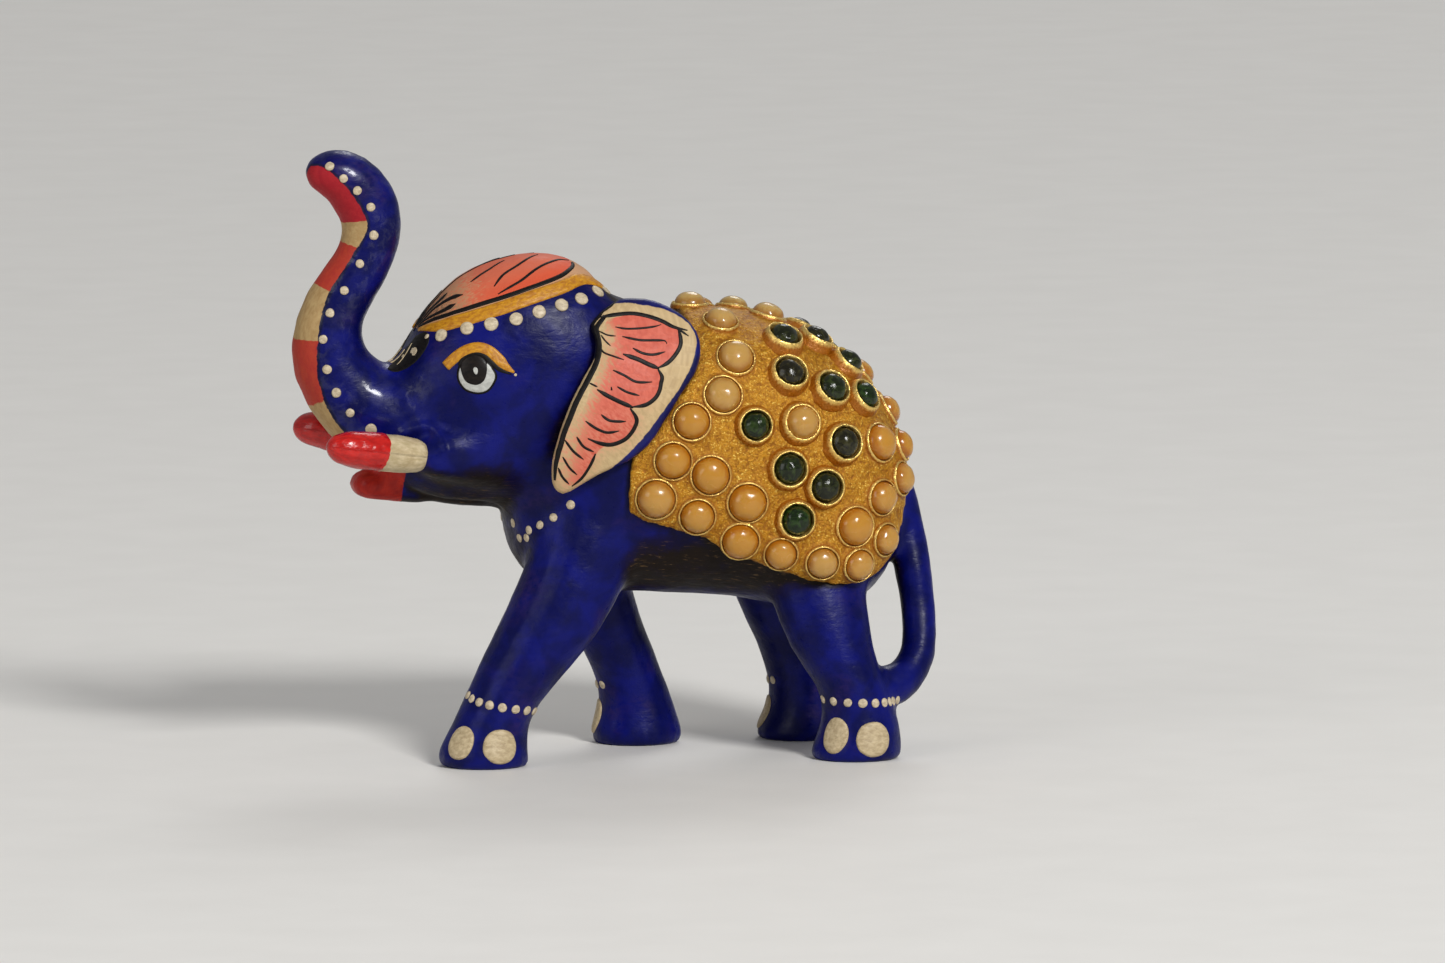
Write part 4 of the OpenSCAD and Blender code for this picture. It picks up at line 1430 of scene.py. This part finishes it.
def build_collar_tree(name, around, wall, flare, sunk):
    """Round collars: wall is half the rim's thickness and flare the spread of the foot, in radii."""
    tree, inside, outside = start_setting_tree(name)
    sheet = add_node(
        tree, "GeometryNodeMeshGrid", None, Size_X=1.0, Size_Y=1.0, Vertices_X=around + 1, Vertices_Y=17
    ).outputs["Mesh"]
    here = tree.nodes.new("GeometryNodeInputPosition").outputs["Position"]
    parts = add_node(tree, "ShaderNodeSeparateXYZ", None, Vector=here)
    turn = times(tree, plus(tree, parts.outputs["X"], 0.5), math.tau)
    curl = times(tree, plus(tree, parts.outputs["Y"], 0.5), math.tau)
    swell = maths(tree, "COSINE", curl)
    climb = maths(tree, "SINE", curl)
    share = plus(tree, times(tree, climb, 0.5), 0.5)
    sheet = stored(tree, sheet, "wall", share)
    foot = times(tree, maths(tree, "POWER", minus(tree, 1.0, share), 2.0), flare)
    outer = maths(tree, "GREATER_THAN", swell, -0.2)
    radius = plus(tree, times(tree, swell, wall), times(tree, foot, outer))
    radius = plus(tree, radius, 1.0)
    height = plus(tree, times(tree, share, 1 + sunk), -sunk)
    spot = add_node(
        tree, "ShaderNodeCombineXYZ", None,
        X=times(tree, radius, maths(tree, "COSINE", turn)),
        Y=times(tree, radius, maths(tree, "SINE", turn)),
        Z=height,
    )
    shaped = add_node(tree, "GeometryNodeSetPosition", None, Geometry=sheet, Position=spot.outputs["Vector"])
    shaped = shaped.outputs["Geometry"]
    closed = add_node(tree, "GeometryNodeMergeByDistance", None, Geometry=shaped, Distance=0.0001)
    finish_setting_tree(tree, inside, outside, closed.outputs["Geometry"])
    return tree


def set_on_points(name, tree, rows, finish, unevenness, lump, seed):
    """Runs a setting tree on rows of (place, facing, spread, rise, tint) and returns a plain piece."""
    mesh = bpy.data.meshes.new(name)
    mesh.from_pydata([tuple(Vector(row[0]) * UNIT) for row in rows], [], [])
    facing = np.array([tuple(row[1]) for row in rows], float)
    keep_values(mesh, "facing", facing)
    keep_values(mesh, "spread", np.array([row[2] for row in rows], float) * UNIT)
    keep_values(mesh, "rise", np.array([row[3] for row in rows], float) * UNIT)
    keep_values(mesh, "tint", np.array([row[4] for row in rows], float))
    thing = bpy.data.objects.new(name, mesh)
    bpy.context.collection.objects.link(thing)
    setting = thing.modifiers.new("setting", "NODES")
    setting.node_group = tree
    sockets = {s.name: s.identifier for s in tree.interface.items_tree if s.in_out == "INPUT"}
    setting[sockets["Finish"]] = finish
    setting[sockets["Unevenness"]] = unevenness * UNIT
    setting[sockets["Lump Size"]] = lump * UNIT
    setting[sockets["Seed"]] = float(seed)
    mesh = apply_modifiers(thing)
    if not mesh.materials:
        mesh.materials.append(finish)
    fix_normals(mesh)
    for word in ("facing", "spread", "rise"):
        layer = mesh.attributes.get(word)
        if layer:
            mesh.attributes.remove(layer)
    return thing


def make_stones(finish_cream, finish_green):
    """Every stone, one piece for each CAD node, and the trees for the collars. Returns the stones and those
    trees.
    """
    dome = build_dome_tree("cabochons", 5, 1.25)
    low_ring = build_collar_tree("low_rings", 64, 0.065, 0.10, 0.6)
    tall_ring = build_collar_tree("tall_collars", 72, 0.115, 0.32, 0.3)
    rng = np.random.default_rng(21)
    stones = []
    for node in names_starting("pearls_") + names_starting("greens_"):
        green = node.startswith("greens_")
        rows = []
        for stone in settings_of(node):
            stones.append(stone)
            lower = np.interp(stone.centre[2], [58, 76], [1.0, 0.0])
            tint = rng.uniform(0, 1) * lower if green else np.clip(lower + rng.uniform(-0.35, 0.25), 0, 1)
            wide, high = (0.99, 0.86) if green else (1.08, 1.03)
            rows.append((stone.foot, stone.axis, stone.radius * wide, stone.rise * high, tint))
        finish = finish_green if green else finish_cream
        piece = set_on_points("set_" + node, dome, rows, finish, 0.45 if green else 0.26, 2.4, len(stones))
        place_piece(piece, "green_stone" if green else "cream_stone", node)
    return stones, low_ring, tall_ring


def make_collars(stones, low_ring, tall_ring, finish):
    rng = np.random.default_rng(8)
    for node in names_starting("collars_"):
        tall = []
        low = []
        for ring in settings_of(node):
            nearest = min(stones, key=lambda s: np.linalg.norm(s.centre - ring.centre))
            level = nearest.foot
            top = (ring.centre + ring.axis * ring.top - level) @ nearest.axis
            high = top > TALL_COLLAR
            rim = nearest.radius + (0.28 if high else 0.46)
            rise = (top + 0.25 if high else 0.66) * rng.uniform(0.93, 1.07)
            (tall if high else low).append((level, nearest.axis, rim, rise, rng.uniform(0, 1)))
        parts = []
        if low:
            parts.append(set_on_points("low_" + node, low_ring, low, finish, 0.24, 0.9, len(node)))
        if tall:
            parts.append(set_on_points("gilt_" + node, tall_ring, tall, finish, 0.42, 1.0, len(node) + 3))
        piece = parts[-1]
        for part in parts[:-1]:
            join_into(piece.data, part)
        place_piece(piece, "gilt_collar", node)


# ---------------------------------------------------------------- tusks

# Each row: how far along the tusk's line, and the radius there.
CHEEK_PROFILE = [(-4.0, 3.0), (0.0, 3.4), (3.0, 3.4), (4.8, 2.9), (5.8, 2.0), (6.2, 0.8)]
TUSK_PROFILE = [
    (4.5, 0.6), (4.7, 1.4), (5.3, 2.15), (6.4, 2.65), (8.2, 2.92), (10.5, 3.02), (12.4, 3.06), (12.8, 3.14),
    (16.0, 3.12), (18.6, 2.86), (19.6, 2.66), (20.6, 2.30), (21.5, 1.70), (22.1, 0.95), (22.3, 0.45),
]
RED_START = 12.6


def turned_form(name, side, profile, around, material, rows=None, unevenness=0.0):
    """A closed round form on the tusk's line, its radius following a profile."""
    root, axis = tusk_line(side)
    axis = Vector(axis)
    across = axis.cross(Vector((0, 0, 1))).normalized()
    rise = across.cross(axis)
    path = curve_through(profile, rows or len(profile))
    points = []
    for run, girth in path:
        for k in range(around):
            a = math.tau * k / around
            out = across * math.cos(a) + rise * math.sin(a)
            spot = Vector(root) + axis * run + out * girth
            lump = 0.16 * noise.noise(spot / 3.2) + 0.06 * noise.noise(spot / 1.1)
            points.append(spot + out * lump * unevenness)
    faces = []
    for r in range(len(path) - 1):
        for k in range(around):
            a = r * around + k
            b = r * around + (k + 1) % around
            faces.append((a, b, b + around, a + around))
    last = len(points)
    points.append(Vector(root) + axis * path[-1][0])
    points.append(Vector(root) + axis * path[0][0])
    for k in range(around):
        a = last - around
        faces.append((a + k, a + (k + 1) % around, last))
        faces.append(((k + 1) % around, k, last + 1))
    thing = make_object(name, [p * UNIT for p in points], faces, material)
    fix_normals(thing.data)
    return thing, np.array(across), np.array(rise)


def make_tusk(name, side, paint):
    thing, across, rise = turned_form("painted_" + name, side, TUSK_PROFILE, 56, paint, 90, 1.0)
    root, axis = tusk_line(side)
    away = points_of(thing.data) - root
    run = away @ axis
    tilt = away @ rise
    turn = np.arctan2(tilt, away @ across) * 3
    keep_values(thing.data, "tusk_flow", np.stack([run, turn, away @ across], 1))
    keep_values(thing.data, "tusk_red", run - RED_START + 0.10 * tilt)
    place_piece(thing, "tusk_paint", name)
    return thing


# ---------------------------------------------------------------- painted details

# The brow, lid and eye are drawn as (along, up), and all other places as (along, out, up).
BROW = [
    (-29.6, 65.4), (-28.0, 67.0), (-26.3, 68.1), (-24.5, 68.5), (-22.9, 68.0), (-21.7, 67.0), (-20.4, 65.6),
    (-18.9, 64.5),
]
LID = [
    (-27.6, 65.6), (-26.9, 66.9), (-25.4, 67.7), (-23.7, 67.3), (-22.5, 66.1), (-21.2, 65.0), (-19.4, 64.2),
]
EYE_WHITE = [
    (-27.5, 65.4), (-27.8, 63.7), (-27.2, 62.3), (-26.2, 61.5), (-24.5, 61.2), (-23.0, 61.8), (-21.9, 63.7),
    (-22.3, 65.0), (-23.4, 66.2), (-26.4, 66.4),
]
IRIS = [
    (-27.3, 66.2), (-27.4, 64.5), (-26.7, 62.9), (-25.1, 62.3), (-23.8, 62.9), (-23.2, 64.3), (-23.2, 66.1),
    (-24.1, 67.2), (-25.7, 67.5),
]
GLINT = [(-25.4, 65.4), (-25.5, 64.8), (-25.2, 64.2), (-24.9, 64.2), (-24.7, 64.8), (-24.9, 65.4)]
FOREHEAD = [
    (-37.7, 2.8, 64.4), (-35.7, 0.6, 65.9), (-33.8, 1.6, 68.2), (-32.9, 2.4, 69.6), (-31.6, 5.0, 70.4),
    (-31.6, 6.6, 68.9), (-33.3, 6.5, 66.2), (-35.7, 4.8, 64.2), (-37.3, 3.6, 63.8),
]
FOREHEAD_MARKS = [
    [(-36.9, 0.9, 65.0), (-35.6, 1.3, 66.3), (-34.6, 1.4, 67.3)],
    [(-36.2, 3.0, 65.0), (-34.6, 2.9, 66.9), (-33.6, 2.8, 68.4)],
]
FOREHEAD_SPOTS = [((-31.8, 5.6, 69.8), 1.1), ((-33.8, 4.6, 67.2), 2.2), ((-35.1, 2.4, 66.4), 0.8)]
CAP_LINES = [
    [(-24.3, 4.5, 78.4), (-21.3, 3.7, 80.2), (-18.2, 2.0, 81.5)],
    [(-21.0, 7.5, 77.9), (-19.1, 6.2, 79.8), (-16.2, 4.6, 81.0), (-12.6, 1.6, 81.8)],
    [(-20.6, 8.8, 76.8), (-17.0, 8.1, 78.6), (-13.5, 6.1, 80.4), (-10.2, 3.8, 81.2), (-7.5, 1.7, 81.3)],
]
CAP_STREAKS = [
    [(-32.1, 0.3, 71.1), (-30.2, 1.4, 73.8), (-27.7, 2.6, 76.4)],
    [(-32.1, 1.0, 71.0), (-29.7, 2.8, 74.2), (-27.6, 4.4, 75.8), (-25.8, 5.9, 76.5)],
    [(-31.7, 1.5, 71.6), (-29.5, 4.6, 73.6), (-27.1, 6.2, 75.1)],
]
CAP_RIDGE = [
    (-33.0, 0.0, 70.2), (-30.5, 0.0, 73.8), (-27.0, 0.0, 77.3), (-22.0, 0.0, 80.3), (-16.0, 0.0, 81.9),
]
BAND_DOTS = [
    (-29.8, 7.8, 70.2), (-26.0, 10.0, 71.5), (-22.2, 11.1, 72.2), (-18.2, 11.7, 73.0), (-14.4, 11.6, 74.0),
    (-10.6, 11.1, 75.0), (-7.1, 10.0, 75.8), (-3.8, 7.5, 76.8), (-1.6, 4.6, 77.2),
]
TRUNK_DOTS = [
    (-47.3, 3.5, 97.6), (-45.2, 4.4, 95.7), (-43.0, 4.7, 93.7), (-40.8, 4.8, 91.0), (-40.3, 4.7, 86.4),
    (-42.6, 4.6, 81.8), (-45.2, 4.8, 77.5), (-47.6, 4.9, 73.9), (-48.8, 5.2, 69.7), (-48.2, 5.6, 64.8),
    (-46.8, 6.0, 61.0), (-44.6, 6.4, 57.7), (-41.3, 7.1, 55.0),
]
CHEST_DOTS = [
    (-17.4, 4.4, 38.8), (-15.3, 8.3, 38.1), (-14.0, 10.3, 39.1), (-11.9, 11.4, 40.4), (-9.4, 12.7, 42.6),
    (-16.6, 5.9, 36.5), (-15.6, 7.6, 36.8),
]
EYE_CORNER_DOT = (-18.7, 64.1)
# Each foot: side, whether it is in front, the anklet's height at its front and back.
FEET = [(-1, True, 11.6, 8.6), (-1, False, 9.9, 9.3), (1, True, 9.8, 8.8), (1, False, 9.8, 9.2)]
# the legs ahead of this place are the front ones
LEGS_PART = 16
ANKLET_DOTS = 9
# how many degrees further forward the right feet are painted
RIGHT_FEET_TURN = 28
# Each nail: degrees round the foot from straight ahead, width, height, and how high its middle is.
NAILS = [(34, 4.9, 6.0, 4.3), (88, 6.3, 5.9, 3.7)]
OVAL_POINTS = 28


def taper(full, start=0.3, end=0.3):
    """A brush's half width: full in the middle, and these shares of it at the ends."""
    def width(t):
        fade = min(t / 0.15, 1) * (1 - start) + start
        close = min((1 - t) / 0.2, 1) * (1 - end) + end
        return max(full * min(fade, close), 0.05)
    return width


def side_places(skin, outline, side, count, closed=False):
    rows = curve_through(outline, count, closed)
    return [skin.from_side(x, z, side)[0] for x, z in rows]


def around_leg(skin, heart, angle, height, side):
    """The place on a leg at an angle from straight ahead, turning to the outside."""
    out = Vector((-math.cos(angle), side * math.sin(angle), 0))
    return skin.cast(Vector((heart[0], heart[1], height)) + out * 15, -out)


def ear_root(ear, skin, side):
    """Places down the front of an ear, where its outer face comes out of the head."""
    points = points_of(ear.data)
    outer = normals_of(ear.data)[:, 1] * side > 0.72
    free = []
    for p in points[outer]:
        spot, normal = skin.nearest(p)
        if (Vector(p) - spot).dot(normal) > 0.3:
            free.append(p)
    free = np.array(free)
    rows = []
    for z in np.linspace(free[:, 2].min() + 1.5, free[:, 2].max() - 1.2, 50):
        level = free[np.abs(free[:, 2] - z) < 0.5]
        if len(level):
            rows.append(level[np.argmin(level[:, 0])])
    rows = np.array(rows)
    for _ in range(4):
        rows[1:-1] = (rows[:-2] + 2 * rows[1:-1] + rows[2:]) / 4
    return [Vector(row) for row in rows[::-1]]


def leg_hearts(points):
    """The middle of each leg just above its foot."""
    hearts = []
    for side, front, _, _ in FEET:
        low = (np.abs(points[:, 2] - 8) < 1) & (points[:, 1] * side > 0)
        low &= (points[:, 0] < LEGS_PART) == front
        spot = points[low]
        hearts.append((spot.min(0) + spot.max(0)) / 2)
    return hearts


def oval_on(place, normal, wide, tall):
    """An oval outline round a place on a surface, square to its normal."""
    up = (Vector((0, 0, 1)) - normal * normal.z).normalized()
    right = normal.cross(up)
    rows = []
    for k in range(OVAL_POINTS):
        a = math.tau * k / OVAL_POINTS
        wave = 1 + 0.05 * noise.noise(Vector((math.cos(a), math.sin(a), place[0])) * 1.6)
        rows.append(Vector(place) + (right * math.cos(a) * wide + up * math.sin(a) * tall) * wave / 2)
    return rows


class DotRow:
    """Collects the raised white dots laid on a skin."""

    def __init__(self, skin):
        self.skin = skin
        self.rows = []

    def add(self, place, size, high=0.3):
        spot, normal = self.skin.nearest(place)
        jitter = noise.noise(Vector(place) * 3.3)
        radius = size / 2 * (1 + 0.12 * jitter)
        self.rows.append((spot - normal * 0.08, normal, radius, high, 0.5 + jitter))


def streak_width(t):
    """A cap streak's half width: it swells from its start, then closes quickly."""
    return 0.14 + 0.40 * t if t < 0.85 else 0.48 * (1 - t) / 0.15 + 0.05


def stroke_along(pile, skin, line, side, count, width, height):
    pile.stroke(skin, curve_through(mirrored(line, side), count), width, height)


def paint_cap(piles, skin, side):
    """The band, the brow and the cap's black lines."""
    piles["gold"].stroke(skin, curve_through(mirrored(BAND, side), 60), taper(1.22, 0.25, 0.7), 0.30, 13)
    piles["gold"].stroke(skin, side_places(skin, BROW, side, 40), taper(0.92, 0.95, 0.2), 0.20, 11)
    stroke_along(piles["black"], skin, CAP_EDGE, side, 56, taper(0.42, 0.6, 0.7), 0.12)
    for line in CAP_LINES:
        stroke_along(piles["black"], skin, line, side, 30, taper(0.24, 0.4, 0.3), 0.10)
    for line in CAP_STREAKS:
        stroke_along(piles["black"], skin, line, side, 30, streak_width, 0.13)


def paint_eye(piles, skin, side):
    """The lid, a black rim under the white, the iris and its glint."""
    piles["black"].stroke(skin, side_places(skin, LID, side, 36), taper(0.40, 0.6, 0.2), 0.12)
    rim = [Vector(p) for p in side_places(skin, EYE_WHITE, side, 44, closed=True)]
    heart = sum(rim, Vector()) / len(rim)
    piles["black"].patch(skin, [heart + (p - heart) * 1.075 for p in rim], 0.10)
    piles["white"].patch(skin, rim, 0.16)
    piles["iris"].patch(skin, side_places(skin, IRIS, side, 40, closed=True), 0.22)
    piles["white"].patch(skin, side_places(skin, GLINT, side, 20, closed=True), 0.30, rings=4)


def paint_head(piles, skin, dots, side):
    """Everything painted on one side of the head, trunk and chest."""
    paint_cap(piles, skin, side)
    paint_eye(piles, skin, side)
    forehead = curve_through(mirrored(FOREHEAD, side), 48, closed=True)
    piles["black"].patch(skin, forehead, 0.12, rings=12)
    for line in FOREHEAD_MARKS:
        stroke_along(piles["cream"], skin, line, side, 16, taper(0.16), 0.20)
    for place, size in FOREHEAD_SPOTS:
        dots.add(mirror_spot(place, side), size, 0.26)
    for place in mirrored(BAND_DOTS, side):
        dots.add(place, 2.3, 0.5)
    for place in mirrored(TRUNK_DOTS[:-1], side):
        dots.add(place, 1.5, 0.4)
    dots.add(mirror_spot(TRUNK_DOTS[-1], side), 2.0, 0.4)
    for place in mirrored(CHEST_DOTS, side):
        dots.add(place, 1.5)
    dots.add(skin.from_side(*EYE_CORNER_DOT, side)[0], 0.5, 0.2)


def paint_feet(piles, skin, dots, hearts):
    """An anklet of dots and two nails on each foot."""
    for (side, front, ahead, behind), heart in zip(FEET, hearts):
        turn = 0 if side < 0 else RIGHT_FEET_TURN
        for k in range(ANKLET_DOTS):
            share = k / (ANKLET_DOTS - 1)
            angle = math.radians(8 - turn + 168 * share)
            height = ahead + (behind - ahead) * share
            dots.add(around_leg(skin, heart, angle, height, side)[0], 1.5, 0.36)
        for angle, wide, tall, height in NAILS:
            place, normal = around_leg(skin, heart, math.radians(angle - turn), height, side)
            piles["cream"].patch(skin, oval_on(place, normal, wide, tall), 0.34, rings=10)


def paint_ear_lines(pile, skin, ear, side):
    """The strokes on an ear's face, and the line down its front."""
    face = Skin(ear)
    for weight, line in EAR_STROKES:
        count = 8 + 5 * len(line)
        line = [(x, ear_height(z, side)) for x, z in line]
        pile.stroke(face, side_places(face, line, side, count), taper(weight * STROKE_SWELL, 0.4, 0.3), 0.10)
    pile.stroke(face, ear_root(ear, skin, side), taper(0.52, 0.7, 0.4), 0.12, spread=11)


def paint_details(body, ears):
    """Lays every raised paint on the figure and makes one piece of each kind."""
    piles = {word: PaintPile() for word in ("black", "ear_black", "gold", "white", "cream", "iris")}
    skin = Skin(body)
    dots = DotRow(skin)
    hearts = leg_hearts(points_of(body.data))
    for side in SIDES.values():
        paint_head(piles, skin, dots, side)
    piles["black"].stroke(skin, curve_through(CAP_RIDGE, 40), taper(0.16, 0.6, 0.3), 0.12)
    paint_feet(piles, skin, dots, hearts)
    for ear, side in zip(ears, SIDES.values()):
        paint_ear_lines(piles["ear_black"], skin, ear, side)

    black = make_thick_paint(
        "black_line_paint", rgb(0.003, 0.0025, 0.0025), rgb(0.010, 0.008, 0.007), 0.42, 0.0, 0.05, shine=0.15
    )
    gold = make_thick_paint(
        "yellow_band_paint", rgb(0.36, 0.125, 0.002), rgb(0.57, 0.26, 0.006), 0.36, 0.0, 0.16
    )
    white = make_thick_paint("eye_white_paint", rgb(0.36, 0.36, 0.33), rgb(0.50, 0.50, 0.46), 0.36, 0.2)
    cream = make_thick_paint("nail_paint", rgb(0.36, 0.27, 0.15), rgb(0.54, 0.43, 0.26), 0.40, 0.0, 0.16)
    iris = make_thick_paint(
        "iris_paint", rgb(0.003, 0.002, 0.002), rgb(0.012, 0.008, 0.006), 0.34, 0.05, 0.05, shine=0.15
    )
    dot = make_thick_paint(
        "dot_paint", rgb(0.40, 0.32, 0.21), rgb(0.62, 0.52, 0.36), 0.38, 0.0, 0.14, on_dots=True
    )
    piles["black"].piece("black_lines", black, "black_paint")
    piles["ear_black"].piece("ear_lines", black, "black_paint")
    piles["gold"].piece("band_and_brows", gold, "yellow_paint")
    piles["white"].piece("eye_whites", white, "white_paint")
    piles["cream"].piece("nails_and_marks", cream, "white_paint")
    piles["iris"].piece("irises", iris, "black_paint")
    beads = build_dome_tree("paint_dots", 3, 1.5)
    place_piece(set_on_points("white_dots", beads, dots.rows, dot, 0.24, 0.8, 5), "white_paint")


# ---------------------------------------------------------------- putting it together

add_camera()
add_studio()
build_brush_group()
build_edge_group()
build_shade_and_grime_group()

body = make_body(make_body_paint())
ear_paint = make_ear_paint()
ears = [make_ear("ear_" + name, side, ear_paint) for name, side in SIDES.items()]
tusk_paint = make_tusk_paint()
for name, side in SIDES.items():
    make_tusk("tusk_" + name, side, tusk_paint)
stones, low_ring, tall_ring = make_stones(make_cream_stone(), make_green_stone())
make_collars(stones, low_ring, tall_ring, make_gilt_collar())
make_saddle(make_gilded_relief(), stones)
paint_details(body, ears)
